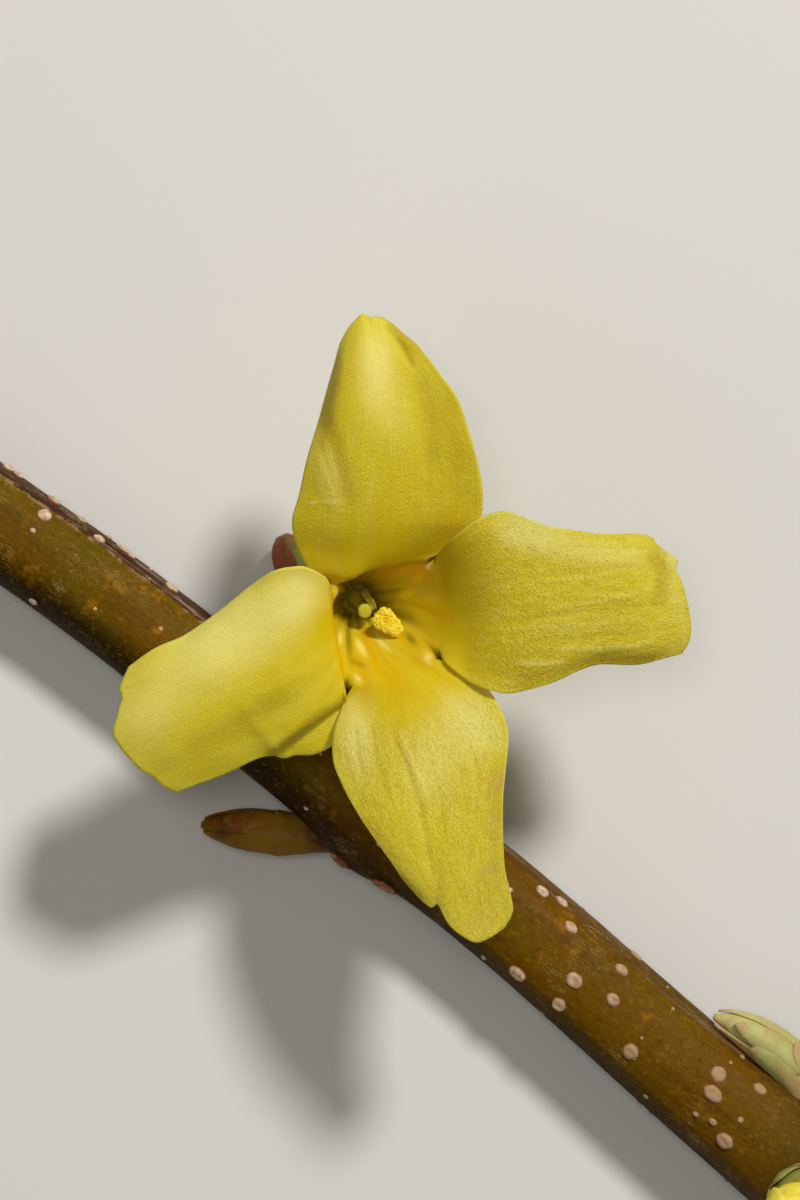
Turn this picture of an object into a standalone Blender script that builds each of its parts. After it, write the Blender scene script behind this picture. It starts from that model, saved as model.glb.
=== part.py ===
"""A forsythia twig with one open flower and four buds, cut at both ends and lying down.

The twig runs along X with its growing tip toward -X. The flower looks up along +Z and
stands beside the twig on its +Y side. Every size below is in millimetres.
"""
import math

import bmesh
import bpy
from mathutils import Vector

MM = 0.001

# Twig: the line of its middle as (along, across), its radius as (along, radius).
TWIG_HALF = 40.0
TWIG_LINE = [
    (-40, -1.1), (-28, -0.5), (-20, -0.1), (-2.5, 0.0), (7, 0.1), (21.5, -0.6), (29, -0.9), (40, -1.7),
]
TWIG_RADIUS = [
    (-40, 2.78), (-20, 2.87), (-6, 2.9), (-2.5, 3.0), (3, 2.95), (12, 2.98), (21, 3.08), (28, 3.2), (40, 3.15),
]
END_ROOM = 2.0
TWIG_STEP = 2.0
TWIG_SIDES = 20
FLAT_DEPTH = 0.12
CORNER_DEPTH = 0.022
CORNER_ANGLE = math.radians(41)
CUT_SLOPE = 0.28
CUT_BEVEL = 0.18
PITH_RADIUS = 0.85
PITH_DEPTH = 0.5
PITH_FLOOR_SHARE = 0.85
# Swellings at the two nodes: along, angle in degrees from +Y up, length, spread, height.
SWELLINGS = [
    (-2.6, 10, 2.6, 0.75, 0.42),
    (-1.2, 178, 2.4, 0.7, 0.5),
    (27.6, 14, 2.6, 0.7, 0.5),
    (29.3, 98, 2.4, 0.7, 0.4),
]
# Lenticels in view from above: along, across, length, width.
LENTICELS_ABOVE = [
    (-36.0, 1.2, 0.9, 0.5), (-32.6, -0.6, 0.8, 0.5), (-29.2, 2.2, 0.6, 0.4), (-28.5, 2.35, 0.6, 0.4),
    (-26.1, 2.5, 0.7, 0.4), (-24.3, 2.6, 0.6, 0.4), (-22.8, 2.2, 0.6, 0.4), (-21.5, 2.65, 0.7, 0.4),
    (-18.1, 2.6, 0.7, 0.4), (-25.9, 1.4, 0.9, 0.75), (-23.5, -2.6, 0.6, 0.5), (-11.5, 0.7, 0.7, 0.5),
    (8.1, 2.2, 0.9, 0.6), (9.3, 2.4, 0.9, 0.6), (10.5, 1.7, 0.9, 0.6), (14.1, 1.6, 0.9, 0.6),
    (14.4, 2.7, 0.8, 0.5), (12.4, -0.4, 1.1, 0.9), (14.7, 0.1, 0.9, 0.7), (9.8, -2.0, 1.2, 0.9),
    (12.6, -1.9, 0.9, 0.8), (17.2, -1.5, 1.0, 0.9), (21.9, -0.1, 1.9, 0.9), (24.2, -2.1, 1.1, 0.9),
    (24.0, 1.2, 0.9, 0.6), (33.5, 1.1, 1.0, 0.8), (36.6, -1.4, 0.9, 0.7),
]
# Lenticels on the sides and underneath: along, angle in degrees from +Y up.
LENTICELS_BELOW = [
    (-34, 205), (-27, 330), (-19, 215), (-13, 320), (-9, 212),
    (7, 322), (13, 208), (19, 330), (25, 212), (35, 325),
]
LENTICEL_HEIGHT = 0.17
LENTICEL_SIDES = 7
LOWER_LENTICEL_SIZE = (0.9, 0.65)
# The steepest place that a lenticel in view from above may have, as a cosine.
STEEPEST = 0.96
# Leaf scars below the buds: along, angle in degrees, length, width.
LEAF_SCARS = [(0.3, 172, 2.3, 1.7), (1.0, 22, 2.0, 1.5), (30.4, 22, 2.0, 1.6), (32.0, 98, 2.0, 1.6)]
LEAF_SCAR_HEIGHT = 0.32
LEAF_SCAR_SIDES = 12
# Rings of a bark patch: share of its size, sunk depth and share of its height.
PATCH_RINGS = [(0.75, -0.35, 0.0), (1.0, 0.0, 0.0), (0.82, 0.0, 0.55), (0.42, 0.0, 0.92)]

# Room between neighbouring pieces, and what a faceted cutter loses between its corners.
GAP = 0.3
FACET_ROOM = 0.12
CUTTER_STEP = 2

# Flower: its throat centre seen from above, and its turn against the twig.
FLOWER_CENTRE = (-7.7, 8.55)
FLOWER_TURN = math.radians(38.5)
BLADE = 0.62
RIM_HEIGHT = 13.0
TUBE_FOOT = (-1.6, 1.2)
# Rings of the tube: height, radius about the foot, share of the rim's shape.
TUBE_RINGS = [
    (7.0, 1.9, 0.0), (8.0, 2.0, 0.02), (9.0, 2.1, 0.07), (10.0, 2.25, 0.18), (10.9, 2.45, 0.34),
    (11.6, 2.6, 0.52), (12.2, 2.7, 0.72), (12.65, 2.75, 0.87),
]
LOBE_COLUMNS = 10
LOBE_ROWS = 14

# Each lobe is drawn as (right, up) points from the throat centre, seen from the front.
# base runs along the rim, first and second are its margins and tip is its outer end.
# rise is the height over the rim along the middle, cup lifts both margins and lean lifts
# the second margin over the first.
TOP_LOBE = {
    "base": [(-2.95, 2.35), (-1.75, 2.3), (-0.8, 2.75), (0.7, 3.05), (2.0, 3.4)],
    "first": [
        (-3.6, 2.75), (-4.2, 3.0), (-4.8, 4.3), (-4.95, 5.4),
        (-4.6, 6.6), (-4.15, 8.5), (-3.5, 10.7), (-3.0, 12.5),
    ],
    "tip": [
        (-2.4, 14.6), (-1.95, 15.4), (-1.3, 16.1), (-0.9, 15.95), (-0.5, 16.0), (0.15, 15.75), (0.95, 14.95),
    ],
    "second": [
        (2.85, 3.9), (3.5, 4.3), (4.1, 4.8), (4.75, 5.5), (5.05, 6.7),
        (4.8, 8.25), (4.35, 9.85), (3.7, 11.7), (2.8, 12.95), (1.75, 14.3),
    ],
    "rise": [(0, 0), (0.12, 0.9), (0.3, 2.0), (0.55, 2.9), (0.8, 3.0), (1, 2.2)],
    "cup": [(0, 0), (0.1, -0.6), (0.2, -0.95), (0.45, -0.9), (0.8, -0.6), (1, -0.2)],
    "lean": [(0, 0), (0.5, 0.1), (1, 0.0)],
}
RIGHT_LOBE = {
    "base": [(2.6, 2.85), (2.95, 1.7), (3.05, 0.5), (3.0, -0.6), (2.85, -1.45)],
    "first": [
        (2.9, 3.5), (3.3, 4.05), (3.85, 4.6), (4.65, 5.3), (5.4, 5.65), (6.2, 5.8),
        (7.4, 5.4), (8.3, 5.05), (9.1, 4.9), (11.2, 4.6), (13.3, 4.6),
    ],
    "tip": [
        (13.95, 4.4), (14.4, 3.85), (15.25, 3.25), (15.2, 2.75),
        (15.6, 1.7), (15.95, 0.1), (15.9, -0.95), (15.5, -1.65),
    ],
    "second": [
        (3.4, -2.3), (4.1, -2.9), (4.9, -3.35), (6.2, -3.75), (7.0, -3.65),
        (8.05, -3.4), (9.1, -3.0), (10.15, -2.5), (11.2, -2.2), (13.3, -2.2),
    ],
    "rise": [(0, 0), (0.12, 0.9), (0.3, 1.9), (0.55, 2.4), (0.8, 2.3), (1, 1.6)],
    "cup": [(0, 0), (0.08, 0.6), (0.2, 0.8), (0.4, 0.4), (0.65, -0.1), (0.85, -0.4), (1, -0.3)],
    "lean": [(0, 0), (0.15, -0.2), (0.5, 0.0), (1, 0.0)],
}
BOTTOM_LOBE = {
    "base": [(2.35, -2.1), (1.6, -2.6), (0.5, -2.9), (-0.7, -3.1), (-1.75, -3.3)],
    "first": [
        (3.0, -2.55), (3.9, -3.2), (4.9, -3.65), (5.5, -4.1), (6.0, -4.6),
        (6.3, -5.3), (6.4, -6.3), (6.1, -9.35), (6.15, -12.5), (6.45, -14.1),
    ],
    "tip": [
        (6.6, -15.05), (6.35, -15.7), (5.95, -16.15), (4.8, -16.75), (3.85, -16.35),
        (2.95, -15.4), (2.7, -14.45), (2.1, -14.8), (1.6, -14.3),
    ],
    "second": [
        (-2.15, -4.0), (-2.5, -4.9), (-2.8, -6.0), (-2.8, -7.4),
        (-2.2, -8.85), (-1.4, -10.25), (-0.35, -11.75), (0.8, -13.3),
    ],
    "rise": [(0, 0), (0.12, 0.6), (0.3, 1.3), (0.6, 2.1), (0.85, 2.6), (1, 2.7)],
    "cup": [(0, 0), (0.1, -0.45), (0.25, -0.45), (0.5, -0.15), (0.8, 0.1), (1, -0.2)],
    "lean": [(0, 0), (0.5, 0.0), (1, 0.0)],
}
LEFT_LOBE = {
    "base": [(-2.4, -2.9), (-2.55, -1.8), (-2.75, -0.8), (-2.9, 0.3), (-2.95, 1.6)],
    "first": [
        (-2.75, -3.6), (-2.85, -4.5), (-2.75, -5.5), (-2.9, -6.5), (-3.8, -7.0), (-4.8, -7.05),
        (-5.4, -7.2), (-6.1, -7.05), (-6.95, -7.25), (-8.5, -8.0), (-10.1, -8.6),
    ],
    "tip": [
        (-11.1, -9.0), (-11.8, -8.7), (-12.35, -8.2), (-13.25, -7.6), (-14.4, -6.1),
        (-14.25, -5.05), (-14.0, -4.05), (-14.1, -3.5), (-13.65, -2.4),
    ],
    "second": [
        (-3.2, 2.2), (-3.6, 2.5), (-4.3, 2.85), (-4.85, 2.9), (-5.9, 2.7),
        (-7.2, 1.85), (-8.5, 0.8), (-9.85, -0.2), (-10.9, -0.85), (-12.2, -1.4),
    ],
    "rise": [(0, 0), (0.1, 0.5), (0.3, 0.9), (0.6, 0.7), (0.85, 0.1), (1, -0.5)],
    "cup": [(0, 0), (0.08, 0.55), (0.2, 0.5), (0.4, -0.2), (0.7, -0.6), (1, -0.4)],
    "lean": [(0, 0), (0.08, 0.35), (0.25, 0.5), (0.5, 0.2), (1, 0.0)],
}
# The lower margin of the left lobe is folded back behind this line.
FOLD_START = (-2.4, -3.95)
FOLD_END = (-6.4, -6.9)
FOLD_WIDTH = 0.95
FOLD_DROP = 1.3
# How far before the fold's start and round its end the margin passes into the fold.
FOLD_RUN_IN = 0.9
FOLD_RUN_OUT = 0.6

# Flower stalk as (x, y, z), its cup and its four sepals.
STALK_LINE = [(-4.8, 4.2, 3.83), (-6.3, 5.5, 3.95), (-8.2, 7.0, 4.2), (-9.5, 8.0, 4.8), (-9.95, 8.4, 5.5)]
STALK_RADII = [(0, 0.48), (0.25, 0.5), (0.55, 0.56), (0.82, 0.7), (1, 0.9)]
STALK_STEPS = 9
STALK_SIDES = 14
STALK_TIP = 0.3
# Rings of the cup, outside and over its rim down to its floor: height, radius.
CUP_FOOT = 5.2
CUP_RINGS = [(5.9, 1.5), (6.3, 2.3), (6.75, 2.8), (6.4, 2.0), (6.4, 1.0)]
CUP_SIDES = 20
SEPAL_ANGLES = [20, 112, 203, 292]
SEPAL_HALF_ANGLE = math.radians(37)
SEPAL_TIP_SHARE = 0.07
SEPAL_FOOT = 6.35
SEPAL_TOP = 10.2
SEPAL_OFFSET = 0.95
SEPAL_LIFT = 0.45
SEPAL_MARGIN_DROP = 0.25
SEPAL_HUG = 0.12
SEPAL_COLUMNS = 4
SEPAL_ROWS = 6
# The radius that the tube's wall reaches at its rim.
RIM_RADIUS = 3.1

# Pistil and stamens in flower coordinates (right, up, out) from the throat centre.
PISTIL_LINE = [(-1.6, 1.2, 6.75), (-1.6, 1.2, 7.6), (-1.55, 1.12, 8.4), (-1.4, 0.85, 9.4), (-1.22, 0.62, 10.35)]
PISTIL_RADII = [(0, 0.45), (0.22, 0.58), (0.45, 0.4), (0.72, 0.3), (1, 0.32)]
PISTIL_STEPS = 9
PISTIL_SIDES = 12
# The stigma's rings: reach past the style's end, radius.
STIGMA_RINGS = [(0.12, 0.46), (0.294, 0.46), (0.42, 0.276)]
STIGMA_DOME = 0.04
STAMENS = {
    "stamen_1": {
        "filament": [(-0.75, 0.55, 7.9), (-0.5, 0.35, 9.0), (-0.2, 0.1, 10.2)],
        "anther": (0.1, -0.1, 11.0),
        "along": (0.77, -0.64, 0.25),
        "length": 1.75,
        "width": 1.1,
    },
    "stamen_2": {
        "filament": [(-2.4, 1.95, 7.9), (-2.2, 2.0, 9.0), (-1.6, 2.0, 9.9)],
        "anther": (-0.95, 1.55, 10.4),
        "along": (0.5, -0.85, 0.3),
        "length": 1.5,
        "width": 0.75,
    },
}
FILAMENT_RADIUS = 0.3
FILAMENT_STEPS = 7
FILAMENT_SIDES = 9
# A pollen sac: its offset, bow and radius as shares of the anther's width.
SAC_OFFSET = 0.23
SAC_BOW = 0.08
SAC_RADIUS = 0.3
SAC_STEPS = 7
SAC_SIDES = 10

# Buds: the middle line as (x, y, z), the radius along it, and rows of scales.
# A row of scales is (start, end, half angle in degrees, first angle, count, lift).
BACK_BUD = {
    "line": [(-5.2, 2.6, 1.3), (-7.6, 4.2, 1.25), (-10.6, 6.1, 1.22), (-13.2, 7.55, 1.25), (-15.1, 8.5, 1.5)],
    "radius": [(0, 0.5), (0.25, 0.6), (0.45, 0.95), (0.7, 1.1), (0.9, 0.85), (1, 0.35)],
    "scales": [(0.26, 0.6, 60, 33, 2, 0.15), (0.33, 0.78, 54, 118, 2, 0.18), (0.47, 0.98, 47, 71, 2, 0.1)],
}
SIDE_BUD = {
    "line": [(-3.3, -2.95, 2.5), (-5.0, -4.2, 2.45), (-7.0, -5.5, 2.4), (-8.75, -6.6, 2.5)],
    "radius": [(0, 0.62), (0.18, 0.8), (0.45, 1.08), (0.7, 0.9), (0.9, 0.42), (1, 0.14)],
    "scales": [
        (0.06, 0.5, 62, 20, 2, 0.14), (0.14, 0.66, 60, 110, 2, 0.14),
        (0.3, 0.84, 52, 60, 2, 0.1), (0.4, 0.98, 50, 150, 2, 0.06),
    ],
}
UPPER_BUD = {
    "line": [(27.3, 2.6, 4.0), (25.2, 3.3, 4.1), (22.9, 3.45, 4.2), (21.0, 3.15, 4.3), (19.7, 2.75, 4.35)],
    "radius": [(0, 0.9), (0.2, 1.1), (0.5, 1.05), (0.75, 0.8), (0.92, 0.42), (1, 0.16)],
    "scales": [
        (0.04, 0.46, 60, 40, 2, 0.14), (0.12, 0.68, 58, 130, 2, 0.14),
        (0.3, 0.86, 50, 85, 2, 0.12), (0.4, 0.98, 48, 175, 2, 0.08),
    ],
}
FRONT_BUD = {
    "line": [(29.1, -1.85, 8.1), (28.85, -2.3, 9.8), (28.5, -2.9, 11.7), (28.1, -3.6, 13.4)],
    "radius": [(0, 0.6), (0.15, 0.95), (0.45, 1.42), (0.75, 1.15), (0.92, 0.72), (1, 0.4)],
    "scales": [],
}
FRONT_BUD_TWIST = 2.4
FRONT_BUD_FOLDS = 0.09
FRONT_BUD_ROWS = 10
FRONT_BUD_SIDES = 20
FRONT_CUP = {
    "line": [(29.45, -1.25, 5.8), (29.3, -1.45, 6.9), (29.15, -1.75, 8.0), (29.0, -2.05, 9.1)],
    "radius": [(0, 1.0), (0.3, 1.25), (0.6, 1.55), (1, 1.75)],
    "scales": [(0.1, 0.75, 55, 20, 2, 0.2), (0.2, 0.88, 52, 107, 2, 0.2), (0.5, 1.0, 38, 65, 4, 0.25)],
}
FOOT_CUP = {
    "line": [(-3.3, 2.8, 3.75), (-4.2, 3.65, 3.8), (-5.2, 4.55, 3.85)],
    "radius": [(0, 0.95), (0.35, 1.22), (0.75, 1.28), (1, 1.18)],
    "scales": [(0.05, 0.82, 52, 33, 2, 0.2), (0.2, 1.0, 49, 121, 2, 0.3)],
}
CUP_ROWS = 4
# Scales: height over the bud, depth under their face, how their margins hug the bud, grid.
SCALE_PROUD = 0.16
SCALE_ROOT = 0.5
SCALE_HUG = 0.08
SCALE_COLUMNS = 4
SCALE_ROWS = 4
SCALE_TIP_SHARE = 0.015
SMALLEST_REACH = 0.12
BUD_LINE_STEPS = 20
# Room cut for the stalk: how far back of its start, how many of its steps and its radius.
STALK_ROOM_BACK = 0.4
STALK_ROOM_STEPS = 6
STALK_ROOM_RADIUS = 0.82


def clear_objects():
    for thing in list(bpy.data.objects):
        bpy.data.objects.remove(thing, do_unlink=True)


def value_at(stops, where):
    """Read a smooth curve through (position, value) stops."""
    if where <= stops[0][0]:
        return stops[0][1]
    if where >= stops[-1][0]:
        return stops[-1][1]
    index = 0
    while stops[index + 1][0] < where:
        index += 1

    def slope(at):
        before = max(at - 1, 0)
        after = min(at + 1, len(stops) - 1)
        return (stops[after][1] - stops[before][1]) / (stops[after][0] - stops[before][0])

    width = stops[index + 1][0] - stops[index][0]
    t = (where - stops[index][0]) / width
    start_pull = slope(index) * width
    end_pull = slope(index + 1) * width
    return (
        (2 * t**3 - 3 * t**2 + 1) * stops[index][1]
        + (t**3 - 2 * t**2 + t) * start_pull
        + (3 * t**2 - 2 * t**3) * stops[index + 1][1]
        + (t**3 - t**2) * end_pull
    )


def smooth_step(share):
    share = min(max(share, 0.0), 1.0)
    return share * share * (3 - 2 * share)


def dense_line(points, per_span=16):
    """A Catmull-Rom curve through the points, as many short steps."""
    marks = [Vector(p) for p in points]
    padded = [2 * marks[0] - marks[1]] + marks + [2 * marks[-1] - marks[-2]]
    line = []
    for index in range(1, len(padded) - 2):
        p0, p1, p2, p3 = padded[index - 1 : index + 3]
        for step in range(per_span):
            t = step / per_span
            line.append(
                0.5
                * (
                    2 * p1
                    + (p2 - p0) * t
                    + (2 * p0 - 5 * p1 + 4 * p2 - p3) * t**2
                    + (3 * p1 - p0 - 3 * p2 + p3) * t**3
                )
            )
    line.append(marks[-1])
    return line


def smooth_line(points, steps):
    """The curve through the points, cut into equal steps."""
    line = dense_line(points)
    reach = [0.0]
    for before, after in zip(line, line[1:]):
        reach.append(reach[-1] + (after - before).length)
    cut = []
    index = 0
    for step in range(steps + 1):
        wanted = reach[-1] * step / steps
        while index < len(reach) - 2 and reach[index + 1] < wanted:
            index += 1
        span = reach[index + 1] - reach[index]
        t = (wanted - reach[index]) / span
        cut.append(line[index].lerp(line[index + 1], min(t, 1.0)))
    return cut


def plain_material(name, colour, roughness):
    material = bpy.data.materials.new(name)
    material.use_nodes = True
    shader = material.node_tree.nodes["Principled BSDF"]
    shader.inputs["Base Color"].default_value = (*colour, 1.0)
    shader.inputs["Roughness"].default_value = roughness
    return material


def solid(name, points, faces, material=None):
    """A closed mesh from points in millimetres."""
    mesh = bpy.data.meshes.new(name)
    mesh.from_pydata([tuple(p * MM) for p in points], [], faces)
    work = bmesh.new()
    work.from_mesh(mesh)
    bmesh.ops.triangulate(work, faces=work.faces)
    bmesh.ops.recalc_face_normals(work, faces=work.faces)
    work.to_mesh(mesh)
    work.free()
    mesh.shade_smooth()
    thing = bpy.data.objects.new(name, mesh)
    bpy.context.scene.collection.objects.link(thing)
    if material:
        mesh.materials.append(material)
    return thing


def rings_to_solid(name, rings, material=None, start=None, end=None):
    """Join rings of points in a row and close both ends with a fan."""
    count = len(rings[0])
    points = [p for ring in rings for p in ring]
    faces = []
    for row in range(len(rings) - 1):
        for k in range(count):
            a = row * count + k
            b = row * count + (k + 1) % count
            faces.append((a, b, b + count))
            faces.append((a, b + count, a + count))
    first = sum(rings[0], Vector()) / count if start is None else start
    last = sum(rings[-1], Vector()) / count if end is None else end
    points.append(first)
    points.append(last)
    first_index = len(points) - 2
    last_index = len(points) - 1
    top = (len(rings) - 1) * count
    for k in range(count):
        faces.append((first_index, (k + 1) % count, k))
        faces.append((last_index, top + k, top + (k + 1) % count))
    return solid(name, points, faces, material)


def line_frames(line):
    """The direction, side and upward vectors at every point of a line."""
    frames = []
    for index in range(len(line)):
        before = line[max(index - 1, 0)]
        after = line[min(index + 1, len(line) - 1)]
        along = (after - before).normalized()
        hint = Vector((0, 0, 1)) if abs(along.z) < 0.9 else Vector((0.6, 0.8, 0))
        side = along.cross(hint).normalized()
        frames.append((along, side, side.cross(along).normalized()))
    for index in range(1, len(frames)):
        along = frames[index][0]
        side = frames[index - 1][1]
        side = (side - along * side.dot(along)).normalized()
        frames[index] = (along, side, side.cross(along).normalized())
    return frames


def round_rod(name, line, radii, sides, material=None, end=None):
    frames = line_frames(line)
    rings = []
    for centre, (_, side, upward), radius in zip(line, frames, radii):
        ring = []
        for k in range(sides):
            angle = 2 * math.pi * k / sides
            ring.append(centre + radius * (math.cos(angle) * side + math.sin(angle) * upward))
        rings.append(ring)
    return rings_to_solid(name, rings, material, end=end)


def join(name, things, material):
    """Union everything in the list into one closed body."""
    group = bpy.data.collections.new(name + "_pieces")
    bpy.context.scene.collection.children.link(group)
    for thing in things[1:]:
        group.objects.link(thing)
    whole = things[0]
    if len(things) > 1:
        union = whole.modifiers.new("union", "BOOLEAN")
        union.operation = "UNION"
        union.operand_type = "COLLECTION"
        union.collection = group
        union.solver = "EXACT"
    bpy.context.view_layer.update()
    mesh = bpy.data.meshes.new_from_object(whole.evaluated_get(bpy.context.evaluated_depsgraph_get()))
    for thing in things:
        bpy.data.objects.remove(thing, do_unlink=True)
    bpy.data.collections.remove(group)
    return tidy(name, mesh, material)


def cut_away(thing, cutter, material):
    """Remove the cutter's room from a body."""
    name = thing.name
    difference = thing.modifiers.new("difference", "BOOLEAN")
    difference.operation = "DIFFERENCE"
    difference.object = cutter
    difference.solver = "EXACT"
    bpy.context.view_layer.update()
    mesh = bpy.data.meshes.new_from_object(thing.evaluated_get(bpy.context.evaluated_depsgraph_get()))
    bpy.data.objects.remove(thing, do_unlink=True)
    return tidy(name, mesh, material)


def tidy(name, mesh, material):
    """Merge doubled points, keep the largest piece and give it its material."""
    work = bmesh.new()
    work.from_mesh(mesh)
    bmesh.ops.remove_doubles(work, verts=work.verts, dist=0.000003)
    bmesh.ops.dissolve_degenerate(work, edges=work.edges, dist=0.000002)
    bmesh.ops.triangulate(work, faces=work.faces)
    keep_largest(work)
    bmesh.ops.recalc_face_normals(work, faces=work.faces)
    work.to_mesh(mesh)
    work.free()
    mesh.materials.clear()
    mesh.materials.append(material)
    mesh.name = name
    mesh.shade_smooth()
    thing = bpy.data.objects.new(name, mesh)
    bpy.context.scene.collection.objects.link(thing)
    return thing


def keep_largest(work):
    unseen = set(work.verts)
    groups = []
    while unseen:
        start = unseen.pop()
        group = {start}
        edge_of_search = [start]
        while edge_of_search:
            vert = edge_of_search.pop()
            for edge in vert.link_edges:
                other = edge.other_vert(vert)
                if other not in group:
                    group.add(other)
                    edge_of_search.append(other)
        unseen -= group
        groups.append(group)
    groups.sort(key=len)
    for group in groups[:-1]:
        bmesh.ops.delete(work, geom=list(group), context="VERTS")


def thick_sheet(name, points, triangles, thickness, material=None):
    """Give a triangulated sheet a thickness, with the same triangles on both faces."""
    normals = [Vector() for _ in points]
    for a, b, c in triangles:
        normal = (points[b] - points[a]).cross(points[c] - points[a])
        for corner in (a, b, c):
            normals[corner] += normal
    count = len(points)
    front = [p + n.normalized() * thickness / 2 for p, n in zip(points, normals)]
    back = [p - n.normalized() * thickness / 2 for p, n in zip(points, normals)]
    return solid(name, front + back, triangles + rim_faces(triangles, count), material)


def shell(name, outer, inner, columns, rows):
    """Close the room between two faces of the same grid."""
    count = len(outer)
    numbers = [list(range(k * (columns + 1), (k + 1) * (columns + 1))) for k in range(rows + 1)]
    triangles = grid_triangles(numbers)
    return solid(name, outer + inner, triangles + rim_faces(triangles, count))


def rim_faces(triangles, count):
    """The back face of a sheet and the strip along its open edge."""
    edges = set()
    for a, b, c in triangles:
        edges.update(((a, b), (b, c), (c, a)))
    faces = [(c + count, b + count, a + count) for a, b, c in triangles]
    for a, b in sorted(edges):
        if (b, a) not in edges:
            faces.append((b, a, a + count))
            faces.append((b, a + count, b + count))
    return faces


def grid_triangles(rows):
    """Two triangles for every four neighbours in rows of point numbers."""
    triangles = []
    for row, following in zip(rows, rows[1:]):
        for k in range(len(row) - 1):
            triangles.append((row[k], row[k + 1], following[k + 1]))
            triangles.append((row[k], following[k + 1], following[k]))
    return triangles


# Twig


def twig_centre(along):
    radius = value_at(TWIG_RADIUS, along)
    return Vector((along, value_at(TWIG_LINE, along), radius - FLAT_DEPTH))


def twig_radius(along, angle):
    radius = value_at(TWIG_RADIUS, along)
    radius *= 1 + CORNER_DEPTH * math.cos(4 * (angle - CORNER_ANGLE))
    for place, middle, length, spread, height in SWELLINGS:
        turn = (angle - math.radians(middle) + math.pi) % (2 * math.pi) - math.pi
        radius += height * math.exp(-(((along - place) / length) ** 2) - (turn / spread) ** 2)
    return radius


def twig_point(along, angle, grow=0.0):
    radius = twig_radius(along, angle) + grow
    point = twig_centre(along) + Vector((0, radius * math.cos(angle), radius * math.sin(angle)))
    if grow == 0.0:
        point.z = max(point.z, 0.0)
    return point


def twig_angles(sides):
    return [2 * math.pi * (k + 0.5) / sides for k in range(sides)]


def twig_end_rings(end):
    """Rings of a pruned end from the bark inward: bevel, wood and a pith pit."""
    sign = 1 if end > 0 else -1
    centre = twig_centre(end)
    rings = []
    for inset, depth in ((0.0, CUT_BEVEL), (CUT_BEVEL, 0.0)):
        ring = []
        for angle in twig_angles(TWIG_SIDES):
            edge = twig_point(end, angle)
            inward = (centre - edge).normalized() * inset
            point = edge + inward
            point.x = end - sign * depth + CUT_SLOPE * (point.z - centre.z)
            ring.append(point)
        rings.append(ring)
    for radius, depth in ((PITH_RADIUS, 0.0), (PITH_RADIUS * PITH_FLOOR_SHARE, PITH_DEPTH)):
        ring = []
        for angle in twig_angles(TWIG_SIDES):
            point = centre + radius * Vector((0, math.cos(angle), math.sin(angle)))
            point.x = end - sign * depth + CUT_SLOPE * (point.z - centre.z)
            ring.append(point)
        rings.append(ring)
    return rings


def twig_body(material):
    reach = TWIG_HALF - END_ROOM
    steps = round(2 * reach / TWIG_STEP)
    rings = list(reversed(twig_end_rings(-TWIG_HALF)))
    for step in range(steps + 1):
        along = -reach + 2 * reach * step / steps
        rings.append([twig_point(along, angle) for angle in twig_angles(TWIG_SIDES)])
    rings += twig_end_rings(TWIG_HALF)
    return rings_to_solid("twig_body", rings, material)


def bark_patch(along, angle, length, width, height, sides):
    """A low oval dome that stands on the bark."""
    foot = twig_point(along, angle)
    outward = (foot - twig_centre(along)).normalized()
    lengthwise = Vector((1, 0, 0))
    lengthwise = (lengthwise - outward * lengthwise.dot(outward)).normalized()
    crosswise = outward.cross(lengthwise)
    rings = []
    for share, sunk, height_share in PATCH_RINGS:
        level = sunk + height_share * height
        ring = []
        for k in range(sides):
            turn = 2 * math.pi * k / sides
            reach = 0.5 * length * math.cos(turn) * lengthwise + 0.5 * width * math.sin(turn) * crosswise
            ring.append(foot + share * reach + outward * level)
        rings.append(ring)
    return rings_to_solid("bark_patch", rings, end=foot + outward * height)


def build_twig():
    material = plain_material("bark", (0.17, 0.10, 0.03), 0.55)
    pieces = [twig_body(material)]
    for along, across, length, width in LENTICELS_ABOVE:
        reach = (across - twig_centre(along).y) / value_at(TWIG_RADIUS, along)
        angle = math.acos(max(-STEEPEST, min(STEEPEST, reach)))
        pieces.append(bark_patch(along, angle, length, width, LENTICEL_HEIGHT, LENTICEL_SIDES))
    for along, degrees in LENTICELS_BELOW:
        length, width = LOWER_LENTICEL_SIZE
        pieces.append(bark_patch(along, math.radians(degrees), length, width, LENTICEL_HEIGHT, LENTICEL_SIDES))
    for along, degrees, length, width in LEAF_SCARS:
        angle = math.radians(degrees)
        pieces.append(bark_patch(along, angle, length, width, LEAF_SCAR_HEIGHT, LEAF_SCAR_SIDES))
    return join("twig", pieces, material)


def twig_cutter():
    """The twig grown by the gap, used to keep the buds clear of it."""
    rings = []
    reach = round(TWIG_HALF) + CUTTER_STEP
    for along in range(-reach, reach + 1, CUTTER_STEP):
        rings.append([twig_point(along, angle, GAP + FACET_ROOM) for angle in twig_angles(TWIG_SIDES)])
    return rings_to_solid("twig_cutter", rings)


# Flower


def to_part(right, up, out):
    """From flower coordinates to the part's."""
    cos_turn = math.cos(FLOWER_TURN)
    sin_turn = math.sin(FLOWER_TURN)
    return Vector(
        (
            FLOWER_CENTRE[0] + right * cos_turn - up * sin_turn,
            FLOWER_CENTRE[1] + right * sin_turn + up * cos_turn,
            out,
        )
    )


def fold_drop(right, up):
    """How far the folded margin of the left lobe lies behind it."""
    start = Vector(FOLD_START)
    along = (Vector(FOLD_END) - start).normalized()
    offset = Vector((right, up)) - start
    outside = offset.x * -along.y + offset.y * along.x
    reach = offset.dot(along)
    length = (Vector(FOLD_END) - start).length
    fade = smooth_step((reach + FOLD_RUN_IN) / FOLD_RUN_IN)
    fade *= smooth_step((length + FOLD_RUN_OUT - reach) / (2 * FOLD_RUN_OUT))
    return FOLD_DROP * smooth_step(outside / FOLD_WIDTH) * fade


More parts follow.
